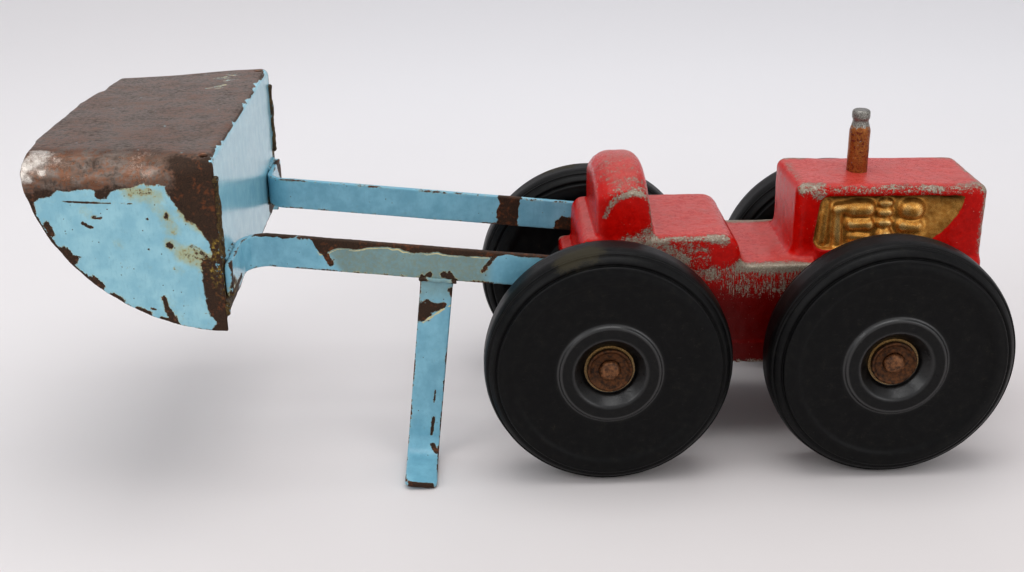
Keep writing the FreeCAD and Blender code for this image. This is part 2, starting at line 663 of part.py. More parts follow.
def bucket_solid(inset, top_z, rear_x, depth, height, side_bend):
    """Quarter-round bucket form, tapered towards the lip, its upper side edges rounded."""
    eighth = math.sqrt(0.5)
    side_view = closed_wire(
        point_xz(rear_x, top_z),
        point_xz(rear_x - depth, top_z),
        (point_xz(rear_x - depth * eighth, top_z - height * eighth), point_xz(rear_x, top_z - height)))
    rear_half = BUCKET_REAR_HALF_WIDTH - inset
    taper = (BUCKET_REAR_HALF_WIDTH - BUCKET_FRONT_HALF_WIDTH) / BUCKET_DEPTH
    far_half = rear_half - taper * BEYOND
    plan = closed_wire(
        point_xy(rear_x, -rear_half), point_xy(rear_x, rear_half),
        point_xy(rear_x - BEYOND, far_half), point_xy(rear_x - BEYOND, -far_half))
    solid = prism(side_view, Y_AXIS, -BEYOND, BEYOND).common(prism(plan, Z_AXIS, 0, BEYOND))
    return fillet_where(solid, side_bend, lambda edge, middle:
                        abs(middle.z - top_z) < 1e-3 and rear_x - depth + 1 < middle.x < rear_x - 1)


def bucket_shell():
    """One folded sheet: worn floor plate on top, back plate, and two side plates."""
    outer = bucket_solid(0, BUCKET_TOP_Z, BUCKET_REAR_X, BUCKET_DEPTH, BUCKET_HEIGHT, BUCKET_SIDE_BEND)
    outer = fillet_where(outer, BUCKET_REAR_BEND, lambda edge, middle:
                         runs_along(edge, Y_AXIS) and abs(middle.z - BUCKET_TOP_Z) < 1e-3
                         and abs(middle.x - BUCKET_REAR_X) < 1e-3)
    inner = bucket_solid(SHEET, BUCKET_TOP_Z - SHEET, BACK_PLATE_X - SHEET, BEYOND / 2, BEYOND / 2,
                         BUCKET_SIDE_BEND - SHEET)
    shell = outer.cut(inner)
    inside = BUCKET_REAR_HALF_WIDTH - SHEET - CORNER_GAP
    shell = shell.cut(block(BACK_PLATE_X, BUCKET_REAR_X + 1, -inside, inside, 0,
                            BUCKET_TOP_Z - BUCKET_REAR_BEND - SHEET))
    shell = shell.cut(block(BACK_PLATE_X - SHEET - 1, BUCKET_REAR_X + 1, -inside, inside, 0,
                            BACK_PLATE_BOTTOM_Z))
    for side in (RIGHT, LEFT):
        hole = V(RELIEF_HOLE_X, side * RELIEF_HOLE_Y, BUCKET_TOP_Z - BUCKET_SIDE_BEND)
        shell = shell.cut(Part.makeCylinder(RELIEF_HOLE_RADIUS, 2 * BUCKET_SIDE_BEND, hole))
    return shell.removeSplitter()


# ---------------------------------------------------------------- welds


def bead(start, end, radius):
    """Weld bead: a round rod with round ends."""
    direction = end - start
    rod = Part.makeCylinder(radius, direction.Length, start, direction)
    return rod.fuse(Part.makeSphere(radius, start)).fuse(Part.makeSphere(radius, end)).removeSplitter()


def trimmed(beads, neighbours):
    """Beads cut back to the faces of the plates that they join."""
    solids = []
    for one in beads:
        for neighbour in neighbours:
            one = one.cut(neighbour)
        solids.append(max(one.Solids, key=lambda solid: solid.Volume))
    return Part.makeCompound(solids)


def arm_braze(arm, shell):
    """Braze along the top, bottom and outer end of the left arm's tab."""
    low, high = arm_tab_heights()
    start_y = ARM_OUTER_Y + ARM_BEND_RADIUS + BEAD_START_GAP
    end_y = TAB_END_Y - TAB_CORNER - BEAD_END_GAP
    top = bead(V(BACK_PLATE_X, start_y, high), V(BACK_PLATE_X, end_y, high), BEAD_RADIUS)
    bottom = bead(V(BACK_PLATE_X, start_y, low), V(BACK_PLATE_X, end_y, low), BEAD_RADIUS)
    return trimmed([top, bottom], [arm, shell])


def bucket_corner_braze(shell):
    """Brazed seams between the back plate and the side plates."""
    seam_y = BUCKET_REAR_HALF_WIDTH - SHEET - CORNER_GAP
    low, high = arm_tab_heights()
    spans = ((BACK_PLATE_BOTTOM_Z + SEAM_RADIUS, low - SEAM_END_GAP),
             (high + SEAM_END_GAP, BUCKET_TOP_Z - BUCKET_SIDE_BEND - 1))
    seams = []
    for side in (RIGHT, LEFT):
        for z0, z1 in spans:
            seams.append(bead(V(BACK_PLATE_X, side * seam_y, z0), V(BACK_PLATE_X, side * seam_y, z1),
                              SEAM_RADIUS))
    return trimmed(seams, [shell])


def lever_weld(arm, handle):
    """Beads on both faces of the butt joint between the lever and the right arm."""
    half = STRAP_WIDTH / 2
    beads = []
    for face_y in (ARM_INNER_Y, ARM_OUTER_Y):
        reach = half - LEVER_BEAD_INSET
        ends = [on_arm(LEVER_FROM_PIVOT - reach, half), on_arm(LEVER_FROM_PIVOT + reach, half)]
        start, end = [V(point.x, -face_y, point.z) for point in ends]
        beads.append(bead(start, end, LEVER_BEAD_RADIUS))
    return trimmed(beads, [arm, handle])


# ---------------------------------------------------------------- assembly

PARTS = {}


def add(name, shape):
    PARTS[name] = shape


def make_wheels():
    for end, axle_x in (("front", FRONT_AXLE_X), ("rear", REAR_AXLE_X)):
        for hand, side in (("right", RIGHT), ("left", LEFT)):
            add(f"{end}_{hand}_wheel", placed_wheel_piece(wheel_tyre(), axle_x, side))
            add(f"{end}_{hand}_hub_bush", placed_wheel_piece(hub_bush(), axle_x, side))
            add(f"{end}_{hand}_axle_cap", axle_cap(axle_x, side))
        add(f"{end}_axle", axle(axle_x))
        add(f"{end}_axle_spacers", axle_spacers(axle_x))


def make_tractor():
    add("body_casting", body_casting())
    add("exhaust_stack", exhaust_stack())
    add("body_cross_pin", body_cross_pin())
    add("pivot_rod", pivot_rod())
    add("pivot_inner_washers", pivot_rings(PIVOT_WASHER_RADIUS, BOSS_END_Y, ARM_INNER_Y - PIVOT_SIDE_PLAY))
    add("pivot_retainers", pivot_rings(PIVOT_RETAINER_RADIUS, RETAINER_INNER_Y, RETAINER_OUTER_Y))


def make_loader():
    arm = arm_strap()
    handle = lever()
    shell = bucket_shell()
    braze = arm_braze(arm, shell)
    add("left_arm", arm)
    add("right_arm", mirrored(arm))
    add("left_arm_braze", braze)
    add("right_arm_braze", mirrored(braze))
    add("lever", handle)
    add("lever_weld", lever_weld(mirrored(arm), handle))
    add("bucket_shell", shell)
    add("bucket_corner_braze", bucket_corner_braze(shell))


def main():
    make_wheels()
    make_tractor()
    make_loader()
    os.makedirs("parts", exist_ok=True)
    for name, shape in PARTS.items():
        shape.exportStep(f"parts/{name}.step")
        box = shape.BoundBox
        print(f"{name:24s} valid={shape.isValid()} solids={len(shape.Solids)} volume={shape.Volume:.0f} "
              f"x {box.XMin:.1f}..{box.XMax:.1f} y {box.YMin:.1f}..{box.YMax:.1f} "
              f"z {box.ZMin:.1f}..{box.ZMax:.1f}")


main()
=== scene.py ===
import math

import bmesh
import bpy
import numpy as np
from mathutils import Matrix, Vector


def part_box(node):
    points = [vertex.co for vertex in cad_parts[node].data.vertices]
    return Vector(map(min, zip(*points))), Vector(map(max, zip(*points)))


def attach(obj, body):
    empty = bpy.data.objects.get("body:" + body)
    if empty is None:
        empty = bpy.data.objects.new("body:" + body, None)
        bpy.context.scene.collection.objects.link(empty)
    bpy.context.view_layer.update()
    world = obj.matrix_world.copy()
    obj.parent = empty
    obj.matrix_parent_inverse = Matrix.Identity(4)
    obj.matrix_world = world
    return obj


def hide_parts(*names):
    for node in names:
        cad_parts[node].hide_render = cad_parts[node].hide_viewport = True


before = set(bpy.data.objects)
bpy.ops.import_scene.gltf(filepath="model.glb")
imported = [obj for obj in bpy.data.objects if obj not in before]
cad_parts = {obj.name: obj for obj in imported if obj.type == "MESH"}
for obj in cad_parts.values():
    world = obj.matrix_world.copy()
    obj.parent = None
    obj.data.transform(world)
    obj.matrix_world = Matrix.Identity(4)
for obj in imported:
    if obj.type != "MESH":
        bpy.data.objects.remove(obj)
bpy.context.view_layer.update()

# Shapes below are worked out in millimetres in the row frame, and meshes are made in metres.
MM = 0.001


# ---- meshes


def set_attribute(mesh, key, values):
    layer = mesh.attributes.new(key, "FLOAT", "POINT")
    layer.data.foreach_set("value", np.asarray(values, np.float32))


def mesh_piece(name, points_mm, faces, body, material, replaced=(), attributes=None):
    """A smooth-shaded piece that rides on a body; attributes are named values per vertex."""
    mesh = bpy.data.meshes.new(name)
    mesh.from_pydata((np.asarray(points_mm, float) * MM).tolist(), [], np.asarray(faces).tolist())
    for key, values in (attributes or {}).items():
        set_attribute(mesh, key, values)
    mesh.validate()
    mesh.shade_smooth()
    mesh.materials.append(material)
    piece = bpy.data.objects.new(name, mesh)
    bpy.context.scene.collection.objects.link(piece)
    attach(piece, body)
    if replaced:
        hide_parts(*replaced)
    return piece


def thin_out(piece, most_triangles):
    """Collapses flat areas until the mesh has no more than this many triangles."""
    count = sum(len(face.vertices) - 2 for face in piece.data.polygons)
    if count > most_triangles:
        piece.modifiers.new("thin", "DECIMATE").ratio = most_triangles / count
        graph = bpy.context.evaluated_depsgraph_get()
        thinned = bpy.data.meshes.new_from_object(piece.evaluated_get(graph))
        piece.modifiers.clear()
        piece.data = thinned


# ---- distance fields


def grid_axes(low, high, step):
    """Grid coordinates along x, y and z that broadcast against each other."""
    x, y, z = (np.arange(a, b + step, step, dtype=np.float32) for a, b in zip(low, high))
    return x[:, None, None], y[None, :, None], z[None, None, :]


def join(a, b, blend):
    """Union of two fields with a fillet."""
    h = np.clip(0.5 + 0.5 * (b - a) / blend, 0, 1)
    return b + (a - b) * h - blend * h * (1 - h)


def join_all(fields, blend):
    """Union of a generator's fields, joined in order."""
    total = next(fields)
    for field in fields:
        total = join(total, field, blend)
    return total


def meet(a, b, blend):
    """Intersection of two fields with a rounded edge."""
    return -join(-a, -b, blend)


def cut(a, b, blend):
    return meet(a, -b, blend)


def round_meet(a, b, radius):
    """Intersection of two planes' fields, their edge rounded to an exact radius."""
    u = a + radius
    v = b + radius
    inside = np.minimum(np.maximum(u, v), 0)
    return inside + np.hypot(np.maximum(u, 0), np.maximum(v, 0)) - radius


def slab_field(c, low, high):
    return np.abs(c - (low + high) / 2) - (high - low) / 2


def rectangle_field(u, v, low, high, rounding):
    return round_meet(slab_field(u, low[0], high[0]), slab_field(v, low[1], high[1]), rounding)


def box_field(axes, low, high, rounding):
    x, y, z = (slab_field(c, a, b) + rounding for c, a, b in zip(axes, low, high))
    inside = np.minimum(np.maximum(np.maximum(x, y), z), 0)
    outside = np.sqrt(np.maximum(x, 0) ** 2 + np.maximum(y, 0) ** 2 + np.maximum(z, 0) ** 2)
    return inside + outside - rounding


def rod_field(u, v, centre, radius):
    """Endless round rod square to the u and v axes."""
    return np.hypot(u - centre[0], v - centre[1]) - radius


def capsule_field(axes, start, end, radius):
    start, end = np.array(start, np.float32), np.array(end, np.float32)
    along = end - start
    rel = [c - s for c, s in zip(axes, start)]
    t = sum(r * a for r, a in zip(rel, along)) / max(float(along @ along), 1e-9)
    t = np.clip(t, 0, 1)
    return np.sqrt(sum((r - a * t) ** 2 for r, a in zip(rel, along))) - radius


def rounded_corners(corners, per_arc=7):
    """Outline points for (a, b, radius) corners."""
    points = []
    for index, (a, b, radius) in enumerate(corners):
        corner = np.array([a, b], float)
        if radius == 0:
            points.append(corner)
            continue
        back = np.array(corners[index - 1][:2]) - corner
        ahead = np.array(corners[(index + 1) % len(corners)][:2]) - corner
        back, ahead = back / np.linalg.norm(back), ahead / np.linalg.norm(ahead)
        half = math.acos(np.clip(back @ ahead, -1, 1)) / 2
        reach = radius / math.tan(half)
        start, end = corner + back * reach, corner + ahead * reach
        middle = (back + ahead) / np.linalg.norm(back + ahead)
        centre = corner + middle * radius / math.sin(half)
        for t in np.linspace(0, 1, per_arc):
            chord = (start - centre) * (1 - t) + (end - centre) * t
            spoke = chord / np.linalg.norm(chord)
            points.append(centre + spoke * radius)
    return points


def line_gap(u, v, points):
    """Distance on a flat grid to an open line through points."""
    best = None
    for (ax, ay), (bx, by) in zip(points, points[1:]):
        ex, ey = bx - ax, by - ay
        wx, wy = u - ax, v - ay
        t = np.clip((wx * ex + wy * ey) / max(ex * ex + ey * ey, 1e-9), 0, 1)
        gap = (wx - ex * t) ** 2 + (wy - ey * t) ** 2
        best = gap if best is None else np.minimum(best, gap)
    return np.sqrt(best)


def outline_field(u, v, points):
    """Signed distance to a closed outline on a flat grid, negative inside."""
    points = points + points[:1]
    inside = False
    for (ax, ay), (bx, by) in zip(points, points[1:]):
        rise = by - ay if abs(by - ay) > 1e-9 else 1e-9
        inside = inside ^ (((ay > v) != (by > v)) & (u < (bx - ax) * (v - ay) / rise + ax))
    gap = line_gap(u, v, points)
    return np.where(inside, -gap, gap).astype(np.float32)


def lumps(shape, step, spacing, seed):
    """Smooth random bumps from -1 to 1 over a grid, about spacing mm apart (one number or one per axis)."""
    spacing = np.broadcast_to(spacing, 3)
    sizes = [int(n * step / s) + 3 for n, s in zip(shape, spacing)]
    values = np.random.default_rng(seed).uniform(-1, 1, sizes).astype(np.float32)
    for axis, (n, s) in enumerate(zip(shape, spacing)):
        at = np.arange(n) * step / s
        cell = at.astype(int)
        t = at - cell
        t = (t * t * (3 - 2 * t)).astype(np.float32)
        t = t.reshape([-1 if a == axis else 1 for a in range(3)])
        values = np.take(values, cell, axis) * (1 - t) + np.take(values, cell + 1, axis) * t
    return values


def blurred(field, reach):
    """Box blur over reach cells each way."""
    for axis in range(3):
        padded = np.concatenate([np.repeat(np.take(field, [0], axis), reach + 1, axis), field,
                                 np.repeat(np.take(field, [-1], axis), reach, axis)], axis)
        total = np.cumsum(padded, axis, dtype=np.float64)
        width = 2 * reach + 1
        n = field.shape[axis]
        field = ((np.take(total, range(width, width + n), axis) - np.take(total, range(n), axis))
                 / width).astype(np.float32)
    return field


CORNERS = [(i, j, k) for i in (0, 1) for j in (0, 1) for k in (0, 1)]


def skin(field, low, step):
    """Surface of the field's zero level: points, quads, and each point's grid cell."""
    inside = field < 0
    cells = tuple(n - 1 for n in field.shape)
    count = np.zeros(cells, np.int8)
    for i, j, k in CORNERS:
        count += inside[i:i + cells[0], j:j + cells[1], k:k + cells[2]]
    where = np.argwhere((count > 0) & (count < 8))
    values = np.stack([field[where[:, 0] + i, where[:, 1] + j, where[:, 2] + k] for i, j, k in CORNERS], 1)
    total = np.zeros((len(where), 3))
    crossings = np.zeros(len(where))
    for first, a in enumerate(CORNERS):
        for second in range(first + 1, 8):
            b = CORNERS[second]
            if sum(abs(p - q) for p, q in zip(a, b)) != 1:
                continue
            va, vb = values[:, first], values[:, second]
            crossed = (va < 0) != (vb < 0)
            t = np.where(crossed, va / np.where(crossed, va - vb, 1), 0)[:, None]
            total += np.where(crossed[:, None], np.array(a) * (1 - t) + np.array(b) * t, 0)
            crossings += crossed
    points = (where + total / crossings[:, None]) * step + np.array(low)
    number = np.full(cells, -1, np.int32)
    number[tuple(where.T)] = np.arange(len(where))
    quads = []
    for axis in range(3):
        p, q = (axis + 1) % 3, (axis + 2) % 3
        here = [slice(1, n - 1) for n in field.shape]
        ahead = list(here)
        here[axis] = slice(0, field.shape[axis] - 1)
        ahead[axis] = slice(1, field.shape[axis])
        a, b = inside[tuple(here)], inside[tuple(ahead)]
        for low_side, flip in ((a & ~b, False), (~a & b, True)):
            at = np.argwhere(low_side)
            at[:, p] += 1
            at[:, q] += 1
            ring = []
            for dp, dq in ((0, 0), (-1, 0), (-1, -1), (0, -1)):
                cell = at.copy()
                cell[:, p] += dp
                cell[:, q] += dq
                ring.append(number[tuple(cell.T)])
            quad = np.stack(ring, 1)
            quads.append(quad[:, ::-1] if flip else quad)
    return points, np.concatenate(quads), where


def at_cells(field, cells):
    """Mean of a field over each cell's corners."""
    return sum(field[cells[:, 0] + i, cells[:, 1] + j, cells[:, 2] + k] for i, j, k in CORNERS) / 8


# ---- shader nodes


def srgb(red, green, blue):
    """Linear colour from everyday 0 to 255 values."""
    return tuple(((c / 255 + 0.055) / 1.055) ** 2.4 if c > 10 else c / 3294.6 for c in (red, green, blue))


def feed(tree, socket, item):
    """Connects a Value to a socket, or sets the socket to a number or colour."""
    if isinstance(item, Value):
        tree.links.new(item.socket, socket)
    elif isinstance(item, tuple):
        socket.default_value = (*item, 1.0) if len(socket.default_value) == 4 else item
    else:
        socket.default_value = item


class Value:
    """A shader output that Python arithmetic can combine."""

    def __init__(self, tree, socket):
        self.tree = tree
        self.socket = socket

    def math(self, operation, *others):
        node = self.tree.nodes.new("ShaderNodeMath")
        node.operation = operation
        for socket, item in zip(node.inputs, (self, *others)):
            feed(self.tree, socket, item)
        return Value(self.tree, node.outputs[0])

    def __add__(self, other):
        return self.math("ADD", other)

    __radd__ = __add__

    def __sub__(self, other):
        return self.math("SUBTRACT", other)

    def __rsub__(self, other):
        return self.math("MULTIPLY", -1.0) + other

    def __mul__(self, other):
        return self.math("MULTIPLY", other)

    __rmul__ = __mul__

    def size(self):
        return self.math("ABSOLUTE")

    def most(self, other):
        return self.math("MAXIMUM", other)

    def least(self, other):
        return self.math("MINIMUM", other)

    def above(self, low, high):
        """0 below low, 1 above high, smooth between."""
        node = self.tree.nodes.new("ShaderNodeMapRange")
        node.interpolation_type = "SMOOTHSTEP"
        feed(self.tree, node.inputs[0], self)
        node.inputs[1].default_value = low
        node.inputs[2].default_value = high
        return Value(self.tree, node.outputs[0])

    def below(self, low, high):
        return 1.0 - self.above(low, high)


class Finish:
    """A procedural material in the making. x, y and z are millimetres in the row frame at rest."""

    def __init__(self, name):
        self.material = bpy.data.materials.new(name)
        self.material.use_nodes = True
        self.tree = self.material.node_tree
        self.tree.nodes.clear()
        coordinates = self.tree.nodes.new("ShaderNodeTexCoord")
        scaled = self.tree.nodes.new("ShaderNodeVectorMath")
        scaled.operation = "SCALE"
        scaled.inputs["Scale"].default_value = 1 / MM
        self.tree.links.new(coordinates.outputs["Object"], scaled.inputs[0])
        self.place = scaled.outputs[0]
        split = self.tree.nodes.new("ShaderNodeSeparateXYZ")
        self.tree.links.new(self.place, split.inputs[0])
        self.x, self.y, self.z = (Value(self.tree, s) for s in split.outputs)

    def moved(self, stretch, shift):
        node = self.tree.nodes.new("ShaderNodeVectorMath")
        node.operation = "MULTIPLY_ADD"
        self.tree.links.new(self.place, node.inputs[0])
        node.inputs[1].default_value = stretch
        node.inputs[2].default_value = (shift, shift * 0.7, shift * 1.3)
        return node.outputs[0]

    def noise(self, per_mm, detail=4.0, rough=0.55, stretch=(1, 1, 1), shift=0.0, twist=0.0):
        node = self.tree.nodes.new("ShaderNodeTexNoise")
        self.tree.links.new(self.moved(stretch, shift), node.inputs["Vector"])
        node.inputs["Scale"].default_value = per_mm
        node.inputs["Detail"].default_value = detail
        node.inputs["Roughness"].default_value = rough
        node.inputs["Distortion"].default_value = twist
        return Value(self.tree, node.outputs[0])

    def spots(self, per_mm, shift):
        """Distance to scattered points, in cells."""
        node = self.tree.nodes.new("ShaderNodeTexVoronoi")
        self.tree.links.new(self.moved((1, 1, 1), shift), node.inputs["Vector"])
        node.inputs["Scale"].default_value = per_mm
        return Value(self.tree, node.outputs["Distance"])

    def attribute(self, name):
        node = self.tree.nodes.new("ShaderNodeAttribute")
        node.attribute_name = name
        return Value(self.tree, node.outputs["Fac"])

    def facing(self):
        """The surface normal's x, y and z."""
        geometry = self.tree.nodes.new("ShaderNodeNewGeometry")
        split = self.tree.nodes.new("ShaderNodeSeparateXYZ")
        self.tree.links.new(geometry.outputs["Normal"], split.inputs[0])
        return [Value(self.tree, s) for s in split.outputs]

    def mix(self, share, first, second):
        """The first colour where share is 0, the second where it is 1."""
        node = self.tree.nodes.new("ShaderNodeMix")
        node.data_type = "RGBA"
        feed(self.tree, node.inputs[0], share)
        feed(self.tree, node.inputs[6], first)
        feed(self.tree, node.inputs[7], second)
        return Value(self.tree, node.outputs[2])

    def blend(self, share, first, second):
        """The same for two numbers."""
        return (1.0 - share) * first + share * second

    def coats(self, colour, *layers):
        """Lays (share, (red, green, blue)) coats over a colour, one after another."""
        for share, tint in layers:
            colour = self.mix(share, colour, srgb(*tint))
        return colour

    def done(self, colour, roughness, metallic=0.0, height_mm=None, specular=0.5):
        shader = self.tree.nodes.new("ShaderNodeBsdfPrincipled")
        feed(self.tree, shader.inputs["Base Color"], colour)
        feed(self.tree, shader.inputs["Roughness"], roughness)
        feed(self.tree, shader.inputs["Metallic"], metallic)
        feed(self.tree, shader.inputs["Specular IOR Level"], specular)
        if height_mm is not None:
            bump = self.tree.nodes.new("ShaderNodeBump")
            bump.inputs["Distance"].default_value = MM
            feed(self.tree, bump.inputs["Height"], height_mm)
            self.tree.links.new(bump.outputs[0], shader.inputs["Normal"])
        out = self.tree.nodes.new("ShaderNodeOutputMaterial")
        self.tree.links.new(shader.outputs[0], out.inputs["Surface"])
        return self.material


# ---- dimensions, as in the CAD


def span(node):
    """A CAD node's lowest and highest corners in millimetres."""
    low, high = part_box(node)
    return np.array(low) / MM, np.array(high) / MM


def centre_of(node):
    low, high = span(node)
    return (low + high) / 2


WHEEL_LOW, WHEEL_HIGH = span("rear_right_wheel")
WHEEL_HALF, WHEEL_RADIUS = (WHEEL_HIGH - WHEEL_LOW)[1:] / 2
REAR_X, RIGHT_Y, AXLE_Z = centre_of("rear_right_wheel")
TRACK = -RIGHT_Y
FRONT_X = centre_of("front_right_wheel")[0]
PIVOT_X, _, PIVOT_Z = centre_of("pivot_rod")
SLOPE = math.radians(6.2)
STRAP_HALF = 8.65
STRAP_THICK = 3.5
ARM_Y = 45.0
TAB_END = 91.0
LEVER_AT = 106.0
LEVER_FOOT = 83.0
BUCKET_REAR = -148.2
BUCKET_BACK = -149.8
BUCKET_TOP = 183.0
BUCKET_DEEP = 95.0
BUCKET_TALL = 87.5
BUCKET_WIDE = 94.0
BUCKET_TAPER = 10 / 95
SHEET = 2.0


def side_of(hand):
    return -1 if hand == "right" else 1


# ---- pieces from fields


def sharpness(field, cells, step, reach_mm):
    """How convex the surface is at each cell: 0 on flats, about 1 on sharp edges, below 0 in hollows."""
    reach = max(1, int(round(reach_mm / step)))
    lift = blurred(field, reach) - field
    return at_cells(lift, cells) * 3 / (reach * step)


def field_piece(name, build, low, high, step, body, material, replaced=(), most=180000, masks=None,
                edge_reach=1.8):
    """Meshes build(axes, step), a field or a (field, {name: grid}) pair.

    masks(points, grids) gives the wear masks, one value per point.
    """
    low = np.array(low, np.float32)
    axes = grid_axes(low, high, step)
    made = build(axes, step)
    field, grids = made if isinstance(made, tuple) else (made, {})
    field = field.astype(np.float32)
    points, quads, cells = skin(field, low, step)
    values = {key: at_cells(np.broadcast_to(grid, field.shape), cells) for key, grid in grids.items()}
    values["edge"] = sharpness(grids.get("solid", field), cells, step, edge_reach)
    values.pop("solid", None)
    if masks:
        values.update(masks(points, values))
    thin_out(mesh_piece(name, points, quads, body, material, replaced, values), most)


def lathe_piece(name, profile, centre, side, body, material, replaced=(), segments=192, rough=0.0,
                spacing=6.0, seed=1, upright=False):
    """Turns a closed (radius, offset) outline round the Y axis through centre, or round Z if upright."""
    profile = np.array(profile, float)
    count = len(profile)
    angles = np.arange(segments) * 2 * math.pi / segments
    u = profile[None, :, 0] * np.cos(angles)[:, None]
    v = profile[None, :, 0] * np.sin(angles)[:, None]
    w = np.broadcast_to(profile[None, :, 1], u.shape)
    points = np.stack([u, v, w] if upright else [u, w * side, v], 2).reshape(-1, 3) + np.array(centre)
    if rough:
        points = points + rough * np.stack([wobble(points, spacing, seed + axis) for axis in range(3)], 1)
    faces = []
    for i in range(segments):
        j = (i + 1) % segments
        for k in range(count):
            m = (k + 1) % count
            if profile[k, 0] < 1e-6 and profile[m, 0] < 1e-6:
                continue
            faces.append((i * count + k, i * count + m, j * count + m, j * count + k))
    piece = mesh_piece(name, points, faces, body, material, replaced)
    tidy_normals(piece)
    return piece


def tidy_normals(piece):
    """Merges doubled points and makes every face look outward."""
    work = bmesh.new()
    work.from_mesh(piece.data)
    bmesh.ops.remove_doubles(work, verts=work.verts, dist=1e-6)
    bmesh.ops.dissolve_degenerate(work, dist=1e-7, edges=work.edges)
    bmesh.ops.recalc_face_normals(work, faces=work.faces)
    work.to_mesh(piece.data)
    work.free()
    piece.data.shade_smooth()


def wobble(points, spacing, seed):
    """Smooth random value from -1 to 1 at each point."""
    size = 32
    values = np.random.default_rng(seed).uniform(-1, 1, (size, size, size))
    at = np.asarray(points) / spacing + 1000
    cell = np.floor(at).astype(int)
    t = at - cell
    t = t * t * (3 - 2 * t)
    total = 0
    for corner in CORNERS:
        weight = 1
        for axis, bit in enumerate(corner):
            weight = weight * (t[:, axis] if bit else 1 - t[:, axis])
        total = total + weight * values[tuple(((cell + corner) % size).T)]
    return total


def marks(points, strokes):
    """Largest of soft strokes (start, end, radius, strength) at each point, in three or two dimensions."""
    best = np.zeros(len(points))
    for start, end, radius, strength in strokes:
        start, end = np.array(start, float), np.array(end, float)
        along = end - start
        t = np.clip(((points - start) @ along) / max(along @ along, 1e-9), 0, 1)
        gap = np.linalg.norm(points - start - t[:, None] * along, axis=1)
        best = np.maximum(best, strength * np.clip(1.5 - gap / radius, 0, 1))
    return best


def on_face(y, rows):
    """Strokes on a face of constant y, from rows of (x, z, x, z, radius, strength)."""
    return [((x0, y, z0), (x1, y, z1), radius, strength) for x0, z0, x1, z1, radius, strength in rows]


def both_sides(strokes):
    """The strokes given for the left side, and their mirror images on the right."""
    mirrored = [((x0, -y0, z0), (x1, -y1, z1), radius, strength)
                for (x0, y0, z0), (x1, y1, z1), radius, strength in strokes]
    return strokes + mirrored


def smooth_step(value, low, high):
    t = np.clip((value - low) / (high - low), 0, 1)
    return t * t * (3 - 2 * t)


# ---- materials


